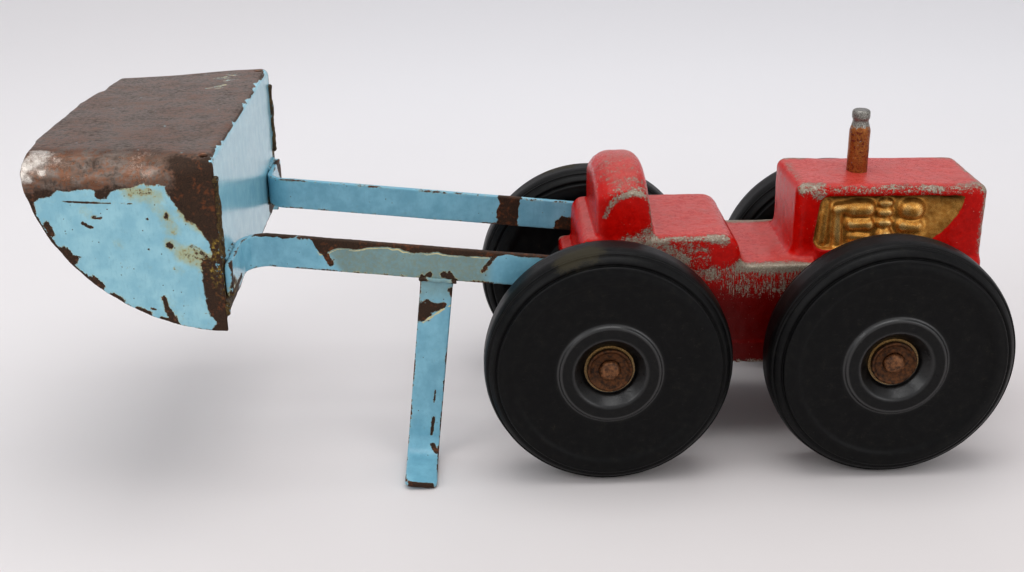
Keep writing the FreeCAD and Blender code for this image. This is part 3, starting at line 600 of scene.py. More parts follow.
def blue_paint(name, base, pale, wear=1.0):
    """Chipped pale-blue enamel over rusted steel.

    Masks: bare (1 where the paint is gone), steel (0 dark oxide to 1 polished, and also a painted highlight
    on the bucket's bend), faded (greenish old paint), rusting (yellow-brown stain round chips), scorched
    (burnt round the brazing) and cream (scratched primer).
    """
    f = Finish(name)
    broad = f.noise(0.10, 5, 0.6)
    mid = f.noise(0.55, 6, 0.62, shift=31)
    fine = f.noise(2.6, 5, 0.65, shift=57)
    grain = f.noise(9.0, 3, 0.6, shift=83)
    edge, bare, steel, faded, rusting, scorched, cream = (
        f.attribute(mask) for mask in ("edge", "bare", "steel", "faded", "rusting", "scorched", "cream"))
    specks = f.spots(0.30, shift=13).below(0.04, 0.13) * broad.above(0.42, 0.56)
    ragged = (mid - 0.5) * 0.8 + (f.noise(1.1, 6, 0.75, shift=71) - 0.5) * 0.9 + (fine - 0.5) * 1.0
    exposed = (bare * 1.15 + edge * (0.62 * wear) * broad.above(0.38, 0.62) + (broad - 0.5) * 0.35 + ragged
               + specks * 0.9 + scorched * 0.18)
    chip = exposed.above(0.50, 0.55)
    near = exposed.above(0.22, 0.50) * (1.0 - chip)
    stained = near * (0.3 + rusting * 1.1) + rusting * 0.9 + (mid - 0.5) * 1.0 + (fine - 0.5) * 0.2
    stained = stained.above(0.15, 1.0) * (rusting * 1.3 + near * 0.30).least(1.0)
    lip = exposed.above(0.42, 0.50) * (1.0 - chip)
    patches = f.noise(0.9, 5, 0.6, stretch=(1, 1, 0.35), shift=5).above(0.50, 0.78)
    dirt = f.noise(0.3, 6, 0.7, shift=19).above(0.60, 0.80)
    streak = f.noise(1.0, 3, 0.6, stretch=(1.0, 1.0, 0.06), shift=43).above(0.62, 0.75)
    paint = f.coats(
        f.mix(broad.above(0.35, 0.68), base, pale),
        (patches * 0.22, (88, 136, 156)),
        ((faded * (0.45 + mid * 0.9)).least(1.0) * 0.85, (118, 127, 110)),
        (dirt * 0.25, (128, 122, 84)),
        (streak * 0.07, (62, 84, 92)),
        (stained * 0.72, (172, 166, 104)),
        ((stained + (mid - 0.5) * 2.0).above(0.95, 1.35) * 0.85, (134, 98, 36)),
        (lip * (0.5 + faded * 0.5).least(1.0), (196, 188, 152)),
        ((cream + (fine - 0.5) * 0.9).above(0.40, 0.62), (206, 196, 150)))
    burnt = scorched.above(0.35, 0.8)
    lumpy = f.noise(0.55, 5, 0.7, shift=59)
    rust = f.coats(
        srgb(38, 27, 20),
        (fine.above(0.35, 0.65), (76, 54, 38)),
        ((mid * 0.6 + broad * 0.5).above(0.58, 0.70) * 0.75, (118, 68, 38)),
        (burnt * lumpy.above(0.50, 0.60) * 0.85, (124, 100, 40)),
        (burnt * (lumpy + (fine - 0.5) * 0.5).above(0.62, 0.68), (186, 164, 84)),
        (burnt * f.noise(0.45, 4, 0.6, shift=87).above(0.63, 0.66), (128, 176, 190)))
    ripple = f.noise(0.30, 7, 0.62, stretch=(0.35, 1.0, 1.0), shift=91, twist=0.8)
    warm = (steel.above(0.30, 0.42) * steel.below(0.75, 0.95)) * (mid * 0.6 + broad * 0.5).above(0.52, 0.64)
    bright = f.coats(
        srgb(108, 95, 87),
        (ripple.above(0.30, 0.72), (138, 127, 119)),
        (f.noise(0.045, 5, 0.6, shift=3).above(0.48, 0.60) * 0.55, (112, 85, 69)),
        (f.noise(0.20, 6, 0.7, shift=15).above(0.54, 0.72) * 0.55, (76, 60, 50)),
        (f.noise(0.8, 6, 0.75, shift=35).above(0.60, 0.70) * 0.45, (64, 48, 40)),
        (warm * 0.6, (134, 88, 62)),
        # the palest coat follows the steel value: polished metal, and on the bucket's bend a painted
        # highlight
        ((steel + (fine - 0.5) * 0.4 + (mid - 0.5) * 0.5).above(0.72, 1.05), (214, 206, 198)))
    shine = (steel + (mid - 0.5) * 0.7 + (broad - 0.5) * 0.5).above(0.26, 0.62)
    colour = f.mix(chip, paint, f.mix(shine, rust, bright))
    polish = (steel + (mid - 0.5) * 0.3).above(0.42, 0.72)
    bare_rough = 0.60 - shine * 0.22 - polish * 0.10 + (fine - 0.5) * 0.3 + (ripple - 0.5) * 0.3
    gloss = f.facing()[0].above(0.6, 0.95)
    paint_rough = 0.25 - gloss * 0.14 + dirt * 0.22 + grain * 0.12 + stained * 0.2
    metallic = chip * (0.20 + shine * 0.55 + polish * 0.20)
    height = (chip * -0.15 + mid * 0.04 + grain * 0.010 * (1.0 + chip * 2.0) + fine * chip * 0.07
              + ripple * shine * chip * 0.25)
    return f.done(colour, f.blend(chip, paint_rough, bare_rough), metallic, height,
                  specular=f.blend(chip, 0.55 + gloss * 0.35, 0.35))


def red_enamel(name):
    """Worn red enamel on a sand casting with gold paint in the engine relief; painted shade low on the sides,
    a painted sheen on upward faces, painted shade and highlights in the relief.
    """
    f = Finish(name)
    broad = f.noise(0.09, 5, 0.6)
    mid = f.noise(0.42, 7, 0.70, shift=23)
    fine = f.noise(1.7, 7, 0.75, shift=47)
    grain = f.noise(6.0, 5, 0.7, shift=61)
    speckle = f.noise(0.9, 7, 0.8, shift=67)
    scrape = f.noise(1.6, 6, 0.72, stretch=(1.0, 1.0, 0.16), shift=33)
    edge, bare, scraped, gold = (f.attribute(mask) for mask in ("edge", "bare", "scraped", "gold"))
    ragged = (mid - 0.5) * 1.2 + (speckle - 0.5) * 1.7 + (fine - 0.5) * 1.3 + (grain - 0.5) * 0.6
    exposed = bare * 0.96 + edge * 0.36 + (broad - 0.5) * 0.4 + ragged + scraped * (scrape - 0.38) * 4.5
    chip = exposed.above(0.52, 0.60)
    rim = exposed.above(0.38, 0.52) * (1.0 - chip)
    nicks = f.spots(0.35, shift=9).below(0.04, 0.12) * fine.above(0.50, 0.58)
    chip = chip.most(nicks)
    rubbed = bare * 0.9 + edge * 0.3 + (mid - 0.5) * 0.8 + (grain - 0.5) * 1.2 + (fine - 0.5) * 0.8
    rubbed = rubbed.above(0.34, 0.70)
    upward = f.facing()[2].above(0.65, 0.98)
    # Painted sheen: faces turned up are lightened towards pink, standing in for the reflection of the light
    # overhead.
    painted_top_sheen = upward * (0.15 + (mid * 0.8 + grain * 0.2 + fine * 0.2 + broad * 0.4).above(0.66, 1.05) * 0.20)
    pits = f.spots(0.9, shift=9).below(0.05, 0.16) * mid.above(0.5, 0.6)
    red = f.coats(
        srgb(170, 9, 3),
        (mid.above(0.3, 0.7), (196, 18, 8)),
        (broad.above(0.5, 0.75) * 0.35, (132, 8, 5)),
        # painted shade: darker red low on the body, below the deck and between the wheels
        (f.z.below(80.0, 101.0) * 0.82, (84, 5, 4)),
        (rim * 0.55, (74, 16, 10)),
        (rubbed * 0.34, (190, 112, 98)),
        (painted_top_sheen, (186, 142, 132)),
        (pits * 0.6, (56, 14, 10)))
    metal = f.coats(
        srgb(112, 104, 90),
        (fine.above(0.35, 0.65), (178, 166, 150)),
        (grain.above(0.52, 0.72) * 0.65, (76, 64, 52)),
        (mid.above(0.58, 0.68) * 0.5, (128, 122, 88)),
        # near-white flecks on the bare metal: bright aluminium, with painted glints
        ((speckle * 0.6 + grain * 0.5).above(0.58, 0.66) * 0.85, (222, 214, 200)))
    # gold paint, with painted shade darkening it in the hollows
    hollow = (edge + (fine - 0.5) * 0.5).below(-1.0, -0.35)
    gilt = f.coats(
        srgb(184, 126, 56),
        (mid.above(0.35, 0.65), (214, 162, 88)),
        # painted shade: dark brown where the surface is hollow
        (hollow * 0.68, (72, 40, 16)),
        ((fine * 0.6 + speckle * 0.5).above(0.62, 0.74) * 0.6, (120, 46, 22)),
        # painted highlight: paler gold on convex edges
        ((edge + (fine - 0.5)).above(0.35, 0.8) * 0.6, (240, 208, 146)),
        # painted shadow under the window's overhanging top edge
        (f.z.above(129.5, 134.0) * 0.62, (52, 30, 14)),
        (f.x.above(203.0, 209.0) * (0.25 + fine.above(0.45, 0.6) * 0.35), (70, 50, 26)))
    gilded = (gold + (mid - 0.5) * 0.30 + (fine - 0.5) * 0.2).above(0.45, 0.55)
    colour = f.mix(gilded, f.mix(chip, red, metal), gilt)
    roughness = f.blend(chip, 0.17 + rubbed * 0.28 + grain * 0.14, 0.52)
    roughness = f.blend(gilded, roughness, 0.20 + hollow * 0.2 + fine * 0.14)
    height = mid * 0.14 + fine * 0.09 + grain * 0.03 + chip * -0.14 + broad * 0.4
    return f.done(colour, roughness + painted_top_sheen * 0.25, f.blend(gilded, chip * 0.35, 0.62), height,
                  specular=0.18 + upward * 0.2)


def rubber(name):
    """Old black moulded rubber: dusty olive bloom, brown stain at the hub, scuffs."""
    f = Finish(name)
    mid = f.noise(0.25, 6, 0.65)
    fine = f.noise(1.8, 5, 0.65, shift=37)
    grain = f.noise(8.0, 4, 0.6, shift=51)
    radial, outward, dusty = (f.attribute(mask) for mask in ("radial", "outward", "dusty"))
    dust = (fine * 0.6 + mid * 0.6 + dusty * 0.8).above(0.66, 0.95)
    scuff = f.noise(0.5, 5, 0.75, stretch=(0.4, 1.0, 1.6), shift=77, twist=0.6).above(0.62, 0.72)
    bore_ring = (radial - 12.1).size().below(0.3, 1.2) * outward
    stain = (bore_ring + (mid - 0.5) * 1.3 + (fine - 0.5) * 0.6).above(0.42, 0.75)
    base = f.coats(srgb(9, 9, 10), (mid.above(0.35, 0.7), (17, 17, 17)), (dust * 0.46, (78, 72, 54)),
                   (scuff * 0.42, (58, 56, 50)))
    base = f.mix(stain * 0.9, base, f.mix(fine.above(0.4, 0.6), srgb(112, 82, 42), srgb(176, 144, 88)))
    roughness = 0.27 + mid * 0.20 + dust * 0.22 + stain * 0.2 + (grain - 0.5) * 0.12 + scuff * 0.15
    height = mid * 0.12 + fine * 0.03 + grain * 0.012 + scuff * -0.05
    hub = radial.below(26.5, 29.0) * outward
    cup = radial.below(18.5, 20.0) * outward
    hub_rim = (radial - 25.6).size().below(0.8, 1.8) * outward
    return f.done(base, roughness + 0.04 - hub * 0.10, 0.0, height,
                  specular=0.20 + hub * 0.08 + cup * 0.4 + hub_rim * 0.6)


def rusty(name, dark=(40, 27, 18), light=(98, 62, 34), shine=0.6):
    f = Finish(name)
    mid = f.noise(0.5, 6, 0.65)
    fine = f.noise(2.4, 6, 0.7, shift=29)
    grain = f.noise(9.0, 4, 0.65, shift=63)
    colour = f.coats(srgb(*dark), (mid.above(0.32, 0.66), light),
                     (fine.above(0.58, 0.7) * 0.5, (150, 102, 54)),
                     (grain.above(0.62, 0.74) * 0.5, (26, 18, 14)))
    return f.done(colour, 0.40 + (fine - 0.5) * 0.4, shine, mid * 0.16 + fine * 0.14 + grain * 0.04)


def bare_steel(name):
    f = Finish(name)
    mid = f.noise(0.6, 6, 0.65)
    fine = f.noise(3.0, 5, 0.65, shift=17)
    colour = f.coats(srgb(96, 88, 80), (mid.above(0.35, 0.65), (140, 132, 124)),
                     (fine.above(0.58, 0.72) * 0.7, (92, 58, 36)))
    return f.done(colour, 0.42 + (fine - 0.5) * 0.3, 0.75, mid * 0.06 + fine * 0.04)


def stack_finish(name):
    """Gold paint over red on the exhaust stack, its rim worn to grey metal."""
    f = Finish(name)
    mid = f.noise(0.45, 6, 0.65)
    fine = f.noise(1.8, 6, 0.7, shift=39)
    grain = f.noise(7.0, 4, 0.6, shift=53)
    gilt = f.mix(mid.above(0.35, 0.62), srgb(132, 66, 28), srgb(180, 122, 56))
    red = f.mix(fine.above(0.4, 0.6), srgb(120, 24, 14), srgb(86, 30, 16))
    paint = f.mix((mid * 0.7 + fine * 0.5).above(0.58, 0.68), gilt, red)
    top = (f.z - 166.0 + (mid - 0.5) * 9.0 + (fine - 0.5) * 4.0).above(-0.6, 0.6)
    worn = (top + f.noise(0.5, 6, 0.7, shift=97).above(0.62, 0.66)).least(1.0)
    metal = f.mix(fine.above(0.38, 0.62), srgb(104, 100, 94), srgb(158, 156, 150))
    colour = f.coats(f.mix(worn, paint, metal), (grain.above(0.60, 0.72) * 0.5, (56, 34, 24)))
    height = mid * 0.25 + fine * 0.1 + grain * 0.03
    return f.done(colour, 0.28 + (fine - 0.5) * 0.3, 0.50 + worn * 0.22, height)


def braze_finish(name):
    """Burnt brazing: dark oxide, olive-yellow flux and brass glints."""
    f = Finish(name)
    mid = f.noise(0.45, 6, 0.65)
    fine = f.noise(1.7, 6, 0.7, shift=27)
    grain = f.noise(6.0, 4, 0.65, shift=81)
    painted = (f.noise(0.5, 5, shift=45) + f.attribute("painted") * 0.2).above(0.60, 0.66)
    colour = f.coats(srgb(38, 28, 20), (mid.above(0.35, 0.6), (84, 66, 34)),
                     (fine.above(0.54, 0.66) * 0.8, (142, 118, 48)), (painted, (120, 170, 186)),
                     (grain.above(0.62, 0.72) * 0.5, (120, 60, 34)))
    return f.done(colour, 0.42 + (fine - 0.5) * 0.4, 0.35, mid * 0.5 + fine * 0.3 + grain * 0.08)


BLUE_BUCKET = blue_paint("bucket_blue_enamel", srgb(134, 184, 200), srgb(154, 200, 212))
BLUE_STRAP = blue_paint("strap_blue_enamel", srgb(116, 170, 190), srgb(134, 188, 206), 0.9)
RED = red_enamel("red_enamel_casting")
RUBBER = rubber("black_rubber")
RUST = rusty("rusted_steel")
RUST_LIGHT = rusty("rusted_rivet", (62, 40, 26), (132, 90, 58), 0.45)
STEEL = bare_steel("bare_steel")
STACK = stack_finish("stack_gold_paint")
BRAZE = braze_finish("brazing")


# ---- tractor casting

BODY_HALF = 37.0
BODY_LOW_Z = 47.0
HOOD_HALF = 28.0
HOOD_REAR = 137.5
HOOD_FRONT = 238.3
HOOD_FALL = 2 / 100.8
RELIEF_Y = 23.0
BOSS_END = 43.0
WINDOW = [(147.2, 106.8, 5.5), (150.8, 135.6, 4.5), (226.2, 134.6, 1.2), (224.0, 126.0, 12.0),
          (216.0, 115.5, 12.0), (203.5, 106.8, 3.0)]
WINDOW_FRONT = [(226.2, 134.6), (223.6, 125.6), (216.0, 115.6), (203.5, 106.8)]
SEAT_SIDE_VIEW = [(17.0, 47.0, 0), (17.0, 95.0, 2.5), (24.0, 95.0, 2.0), (24.0, 119.0, 7.0),
                  (105.5, 119.0, 10.0), (109.0, 102.0, 5.0), (147.0, 102.0, 0), (147.0, 47.0, 0)]
BACK_CROWN = 75.0
BACK_SIDE_VIEW = [(31.5, 75.0, 0), (32.0, 152.8, 12.0), (58.6, 152.8, 9.0), (64.2, 112.0, 0), (64.0, 75.0, 0)]

# Round bars (start x and z, end x and z, how far the axis stands out of the window's floor, radius).
RELIEF = [
    ((152.4, 110.0), (153.6, 131.0), -0.8, 3.2), ((161.0, 106.0), (160.0, 127.0), -0.2, 2.9),
    ((160.2, 128.0), (167.0, 128.6), 0.2, 3.2), ((169.0, 127.8), (175.4, 127.6), -0.8, 5.2),
    ((168.4, 119.4), (176.6, 119.2), -0.4, 3.9), ((169.0, 112.0), (176.0, 111.0), -1.2, 3.0),
    ((198.2, 127.0), (200.8, 126.6), -1.4, 6.1), ((195.6, 117.8), (203.2, 117.2), -0.6, 3.7),
    ((197.0, 110.5), (202.0, 109.0), -1.2, 2.8), ((185.6, 106.0), (185.2, 132.0), 0.0, 2.0),
    ((186.0, 112.5), (186.4, 106.0), -0.6, 4.4), ((183.6, 130.6), (187.2, 130.6), 0.5, 2.3),
    ((183.6, 125.4), (187.2, 125.4), 0.5, 2.3), ((183.6, 119.6), (187.2, 119.6), 0.5, 2.3),
]


def relief_field(axes):
    """Engine detail standing out of the window's floor: pipes, lobed drums and a spool."""
    bars = (capsule_field(axes, (x0, RELIEF_Y + proud, z0), (x1, RELIEF_Y + proud, z1), radius)
            for (x0, z0), (x1, z1), proud, radius in RELIEF)
    return np.maximum(join_all(bars, 1.3), axes[1] - (HOOD_HALF - 0.5))


def casting_field(axes, step):
    x, y, z = axes
    side = np.abs(y)
    flat_x, flat_z = x[:, :, 0], z[:, 0, :]
    shape = np.broadcast_shapes(x.shape, y.shape, z.shape)
    sway = lumps(shape, step, 26.0, 5) * 0.35
    profile = outline_field(flat_x, flat_z, rounded_corners(SEAT_SIDE_VIEW))[:, None, :]
    seat_round = 1.2 + 2.2 * np.clip((z - 104) / 10, 0, 1)
    body = round_meet(profile, side - BODY_HALF + sway, seat_round)
    # seat back: its side view, lowered along an arc towards both sides
    near = (x.ravel() > 26) & (x.ravel() < 70)
    high = z.ravel() > 98
    near_x, high_z = x[near], z[:, :, high]
    drop = BACK_CROWN - np.sqrt(np.maximum(BACK_CROWN ** 2 - np.minimum(side, BODY_HALF) ** 2, 1))
    back = outline_field(np.broadcast_to(near_x, (near.sum(), side.size, high.sum())), high_z + drop,
                         rounded_corners(BACK_SIDE_VIEW)) * 0.93
    rear_corners = rectangle_field(near_x, y, (31.5, -36.6), (90.0, 36.6), 8.0)
    back = round_meet(back, rear_corners, 1.8)
    part = np.ix_(near, np.ones(side.size, bool), high)
    body = np.array(np.broadcast_to(body, shape), np.float32)
    body[part] = join(body[part], back.astype(np.float32), 2.5)
    # hood and the narrow chassis under it
    hood_plan = rectangle_field(x, y, (HOOD_REAR, -HOOD_HALF), (HOOD_FRONT, HOOD_HALF), 5.5)
    hood_top = z - (142.0 - (x - HOOD_REAR) * HOOD_FALL) + sway
    hood = np.maximum(round_meet(hood_plan, hood_top, 5.0), 52 - z)
    chassis = rectangle_field(x, y, (125.0, -29.0), (HOOD_FRONT, 29.0), 6.0)
    chassis = round_meet(round_meet(chassis, z - 98.0, 2.0), BODY_LOW_Z - z, 1.0)
    body = join(body, join(hood, chassis, 5.0), 8.0)
    skirt = round_meet(rectangle_field(x, y, (16.2, -37.8), (147.0, 37.8), 1.5), z - 59.0, 0.8)
    body = join(body, np.maximum(skirt, BODY_LOW_Z - z), 0.8)
    for boss_x, boss_z, radius in ((REAR_X, AXLE_Z, 11.0), (FRONT_X, AXLE_Z, 11.0), (PIVOT_X, PIVOT_Z, 9.0)):
        boss = round_meet(rod_field(x, z, (boss_x, boss_z), radius), side - BOSS_END, 1.0)
        body = join(body, boss, 3.0)
    body = np.maximum(body, BODY_LOW_Z - z)
    # engine window
    window = outline_field(flat_x, flat_z, rounded_corners(WINDOW))[:, None, :]
    slant = 1 - smooth_step(line_gap(flat_x, flat_z, WINDOW_FRONT), 0.0, 11.0)
    cutter = meet(window, RELIEF_Y + (4.6 * slant).astype(np.float32)[:, None, :] - side, 2.0)
    body = cut(body, cutter, 2.2)
    relief = relief_field((x, side, z))
    body = np.where(side > RELIEF_Y - 6, join(body, relief, 1.6), body)
    # hollow underneath
    for low, high in (((21, -33, 30), (143, 33, 91)), ((28, -33, 30), (95.5, 33, 114)),
                      ((36.5, -30, 30), (58, 30, 131)), ((142, -25, 30), (234.3, 25, 91)),
                      ((141.5, -19, 30), (234.3, 19, 134))):
        body = cut(body, box_field(axes, low, high, 2.0), 1.0)
    for hole_x, hole_z, radius in ((REAR_X, AXLE_Z, 4.9), (FRONT_X, AXLE_Z, 4.9), (PIVOT_X, PIVOT_Z, 4.1)):
        body = np.maximum(body, -rod_field(x, z, (hole_x, hole_z), radius))
    bumps = 0.16 * lumps(shape, step, 7.0, 11) + 0.10 * lumps(shape, step, 3.0, 12)
    bumps = bumps + 0.05 * lumps(shape, step, 1.5, 13)
    gold = -np.maximum(window - 0.4, RELIEF_Y - 2.5 - side)
    gold = np.clip(0.5 + np.minimum(gold, HOOD_HALF - 0.2 - side) / 1.6, 0, 1)
    return body + bumps, {"gold": gold.astype(np.float32)}


# Bare metal on the left side, rows as in on_face: the flat of the body first, then the edges further in.
BODY_WEAR = on_face(BODY_HALF, [
    (47, 118, 62, 119, 3.5, 0.62), (57, 122, 60, 119, 2.5, 0.66), (60, 118, 98, 118, 2.2, 0.50),
    (92, 118, 98, 116, 3.5, 0.62), (60, 115, 74, 109, 5.5, 0.62), (72, 110, 80, 105, 4.0, 0.66),
    (78, 113, 88, 110, 4.5, 0.48), (84, 110, 88, 109, 1.8, 0.72), (80, 104, 92, 97, 5.0, 0.42),
    (107, 101.5, 144, 101.5, 2.6, 0.56), (17, 95, 60, 96, 3.0, 0.35)])
EDGE_WEAR = on_face(36.5, [(36, 130, 40, 138, 1.5, 0.66), (40, 138, 49, 143, 1.8, 0.70)])
EDGE_WEAR += on_face(27, [(186, 141, 196, 141, 2.6, 0.45), (203, 140, 212, 139, 2.4, 0.50)])
EDGE_WEAR += [
    ((107, 34, 102), (140, 34, 102), 3.0, 0.34), ((139, 28, 141), (150, 24, 142), 4.0, 0.58),
    ((144, 24, 142), (149, 28, 137), 4.0, 0.50), ((150, 27.5, 140.5), (232, 27.5, 139), 2.6, 0.32),
    ((222, 26, 140), (237, 22, 139), 4.5, 0.42), ((237.5, 26, 138), (237.5, 26, 104), 3.2, 0.44),
    ((49, 36, 143), (60, 36, 142), 1.8, 0.60), ((44, 30, 146), (58, 30, 145), 8.0, 0.38),
    ((60, 34, 140), (63.5, 35, 122), 2.4, 0.50), ((17, 38, 47), (147, 38, 47), 2.0, 0.30)]
TOP_WEAR = [
    ((40, -20, 151), (56, 20, 151), 12.0, 0.30), ((142, -14, 141), (142, 14, 141), 2.5, 0.36),
    ((236, -14, 139), (236, 14, 139), 3.5, 0.40), ((160, -6, 141), (200, 8, 141), 10.0, 0.16),
    ((64, 0, 119), (100, 0, 119), 26.0, 0.10)]
SCRAPES = on_face(BODY_HALF, [
    (104, 99, 136, 99, 6.0, 1.0), (104, 93, 132, 92, 8.0, 0.75), (96, 100, 104, 90, 5.0, 0.40)])


def casting_masks(points, grids):
    bare = marks(points, both_sides(BODY_WEAR + EDGE_WEAR) + TOP_WEAR)
    bare = np.maximum(bare, 0.25 * smooth_step(points[:, 2], 144, 151) * (points[:, 0] < 66))
    clean = 1 - 0.8 * grids["gold"]
    return {"bare": bare * clean, "scraped": marks(points, both_sides(SCRAPES)) * clean}


field_piece("tractor_casting", casting_field, (13, -46, 44), (242, 46, 161), 0.75,
            "tractor", RED, ("body_casting",), masks=casting_masks, edge_reach=3.0)


# ---- bucket

LIP_Y = (-94.0, -84.0, -70.0, -56.0, -33.0, 0.0, 17.9, 31.0, 40.0, 45.6, 58.7, 72.0, 84.0, 94.0)
LIP_X = (-243.0, -242.4, -239.6, -240.6, -240.4, -239.4, -239.1, -237.2, -235.8, -233.4, -233.2, -230.9,
         -230.0, -230.0)


def bucket_field(axes, step):
    x, y, z = axes
    side = np.abs(y)
    shape = np.broadcast_shapes(x.shape, y.shape, z.shape)
    dent = lumps(shape, step, 34.0, 3) * 0.45 + 0.45
    small = lumps(shape, step, (14.0, 9.0, 11.0), 4) * 0.12 + 0.12
    slant = 1 / math.hypot(1, BUCKET_TAPER)
    top = z - BUCKET_TOP + dent * 0.7 + small
    flank = (side - BUCKET_WIDE + (BUCKET_REAR - x) * BUCKET_TAPER) * slant + dent * 0.8 + small
    back = x - BUCKET_BACK + dent * 0.6
    lengthwise = x.ravel()
    near_bend = np.interp(lengthwise, (-240, -206, -182, -156, -148), (16, 17, 15.5, 7, 6))
    far_bend = np.interp(lengthwise, (-236, -200, -168, -148), (13, 8.5, 2.5, 2.2))
    bend = np.where(y < 0, near_bend[:, None, None], far_bend[:, None, None]).astype(np.float32)
    bend = bend * np.clip(side / 30, 0, 1)
    channel = round_meet(top, flank, np.maximum(bend, 2.2))
    folded = round_meet(top, back, 4.0)
    front = np.hypot((x - BUCKET_REAR) / BUCKET_DEEP, (z - BUCKET_TOP) / BUCKET_TALL) - 1
    ragged = lumps(shape, step, 6.0, 8) * 0.5 + lumps(shape, step, 2.2, 9) * 0.25
    front = front * 86 + 0.5 + ragged * 0.6
    rear = x - BUCKET_REAR + 0.2 + ragged * 0.3
    wrap = np.abs(channel + SHEET / 2) - SHEET / 2
    wrap = round_meet(wrap, np.maximum(front, rear), 0.7)
    wrap = np.maximum(wrap, folded)
    panel = np.abs(folded + SHEET / 2) - SHEET / 2
    bottom = 103.0 - z + ragged * 0.8
    panel = round_meet(panel, np.maximum(bottom, side - 92.0), 0.7)
    panel = np.maximum(panel, np.maximum(front, channel))
    shell = join(wrap, panel, 1.2)
    lip = np.interp(y.ravel(), LIP_Y, LIP_X).astype(np.float32)[None, :, None] - x + ragged * 0.7
    shell = round_meet(shell, lip, 0.8)
    shell = np.maximum(shell, z - BUCKET_TOP + 0.04)
    hole = rod_field(x, side, (BUCKET_REAR - 6.5, BUCKET_WIDE - 7.5), 1.9)
    shell = cut(shell, np.maximum(hole, 165 - z), 0.8)
    solid = np.maximum(np.maximum(channel, rear), np.maximum(front, lip)).astype(np.float32)
    return shell, {"depth": np.maximum(channel, folded), "top_gap": top, "flank_gap": flank, "back_gap": back,
                   "solid": solid}


SIDE_PAINT = [(-236.6, 160.3), (-233.9, 162.8), (-228.1, 163.7), (-223.8, 166.2), (-210.2, 167.1),
              (-206.2, 167.2), (-205.9, 163.1), (-201.2, 163.2), (-199.2, 166.4), (-191.2, 167.3),
              (-183.1, 169.8), (-172.9, 169.1), (-171.8, 165.1), (-169.8, 161.1), (-166.4, 156.2),
              (-161.3, 152.2), (-158.7, 148.1), (-155.3, 141.5), (-154.4, 134.9), (-158.8, 131.4),
              (-159.8, 121.3), (-159.3, 109.3), (-155.3, 100.7), (-158.0, 96.3), (-170.0, 97.4),
              (-179.0, 100.0), (-192.0, 105.6), (-206.0, 113.6), (-214.0, 121.5), (-222.0, 129.5),
              (-228.0, 138.5), (-233.0, 145.5), (-236.5, 154.0)]
SIDE_CHIPS = [
    ((-225.0, 136.5), (-221.5, 131.5), 2.2, 0.90), ((-213.0, 122.5), (-209.5, 119.0), 1.6, 0.90),
    ((-204.5, 114.0), (-200.5, 111.3), 1.5, 0.85), ((-193.0, 107.3), (-188.0, 105.2), 1.3, 0.80),
    ((-182.0, 102.5), (-176.0, 100.6), 1.2, 0.80), ((-232.0, 150.0), (-230.0, 145.0), 1.6, 0.80),
    ((-222.9, 161.0), (-206.0, 160.7), 0.40, 0.85), ((-206.0, 160.7), (-190.0, 160.5), 0.32, 0.75),
    ((-209.5, 153.6), (-205.0, 153.2), 0.72, 0.9), ((-214.5, 150.6), (-210.5, 148.4), 0.86, 0.9),
    ((-174.4, 155.6), (-174.0, 153.4), 1.08, 0.95), ((-183.4, 153.1), (-183.3, 152.9), 0.65, 0.9),
    ((-174.4, 140.2), (-173.6, 139.9), 1.44, 0.95), ((-164.5, 154.0), (-160.5, 152.0), 1.30, 0.9),
    ((-165.0, 158.0), (-161.0, 158.0), 1.15, 0.5), ((-220.0, 133.4), (-217.8, 133.0), 0.86, 0.9),
    ((-184.3, 138.1), (-184.2, 138.0), 0.58, 0.85), ((-179.6, 113.4), (-178.6, 107.0), 1.08, 0.95),
    ((-178.4, 107.0), (-175.2, 100.0), 1.58, 0.98), ((-173.4, 128.4), (-173.2, 128.2), 0.58, 0.8),
    ((-186.4, 107.6), (-184.4, 107.2), 0.58, 0.85), ((-171.5, 147.0), (-171.0, 146.0), 0.72, 0.7),
    ((-196.0, 128.6), (-195.8, 128.4), 0.43, 0.7), ((-163.0, 139.0), (-157.0, 133.0), 2.52, 0.42),
    ((-190.0, 166.0), (-180.0, 166.5), 1.80, 0.40), ((-168.0, 136.0), (-163.0, 134.0), 2.16, 0.40),
]
SIDE_RUST = [
    ((-190, 166), (-178, 164), 5.0, 0.75), ((-180, 160), (-176, 157), 4.0, 0.6),
    ((-165, 156), (-158, 150), 4.5, 0.9), ((-174, 141), (-170, 138), 4.0, 0.7),
    ((-168, 136), (-158, 132), 5.0, 0.95), ((-213, 157), (-211, 155), 3.5, 0.5),
    ((-199, 141), (-198, 140), 3.0, 0.5), ((-174, 154), (-172, 148), 4.5, 0.7),
    ((-178, 112), (-174, 102), 4.0, 0.4), ((-226, 134), (-220, 128), 3.0, 0.3),
    ((-172, 128), (-170, 127), 2.5, 0.5), ((-186, 130), (-184, 129), 2.0, 0.3),
]
BACK_CHIPS = [
    ((-150, 70, 110), (-150, 66, 104), 6.0, 0.7), ((-150, 89, 134), (-150, 88, 104), 4.0, 0.85),
    ((-150, 60, 108), (-150, 82, 106), 4.0, 0.75), ((-150, 0, 103), (-150, 60, 103), 2.2, 0.45),
]
SCUFFS = [(-170 + 3.5 * math.sin(5.1 * n), 45 + 2.1 * n, 2.6 + 1.6 * math.sin(2.3 * n)) for n in range(17)]
SCUFFS = [((x - half, y - 0.5 * half, BUCKET_TOP), (x + half, y + 0.5 * half, BUCKET_TOP), 0.42, 0.85)
          for x, y, half in SCUFFS]
SCORCHED_BACK = [((BUCKET_REAR, 90, 136), (BUCKET_REAR, 80, 104), 10.0, 1.0)]


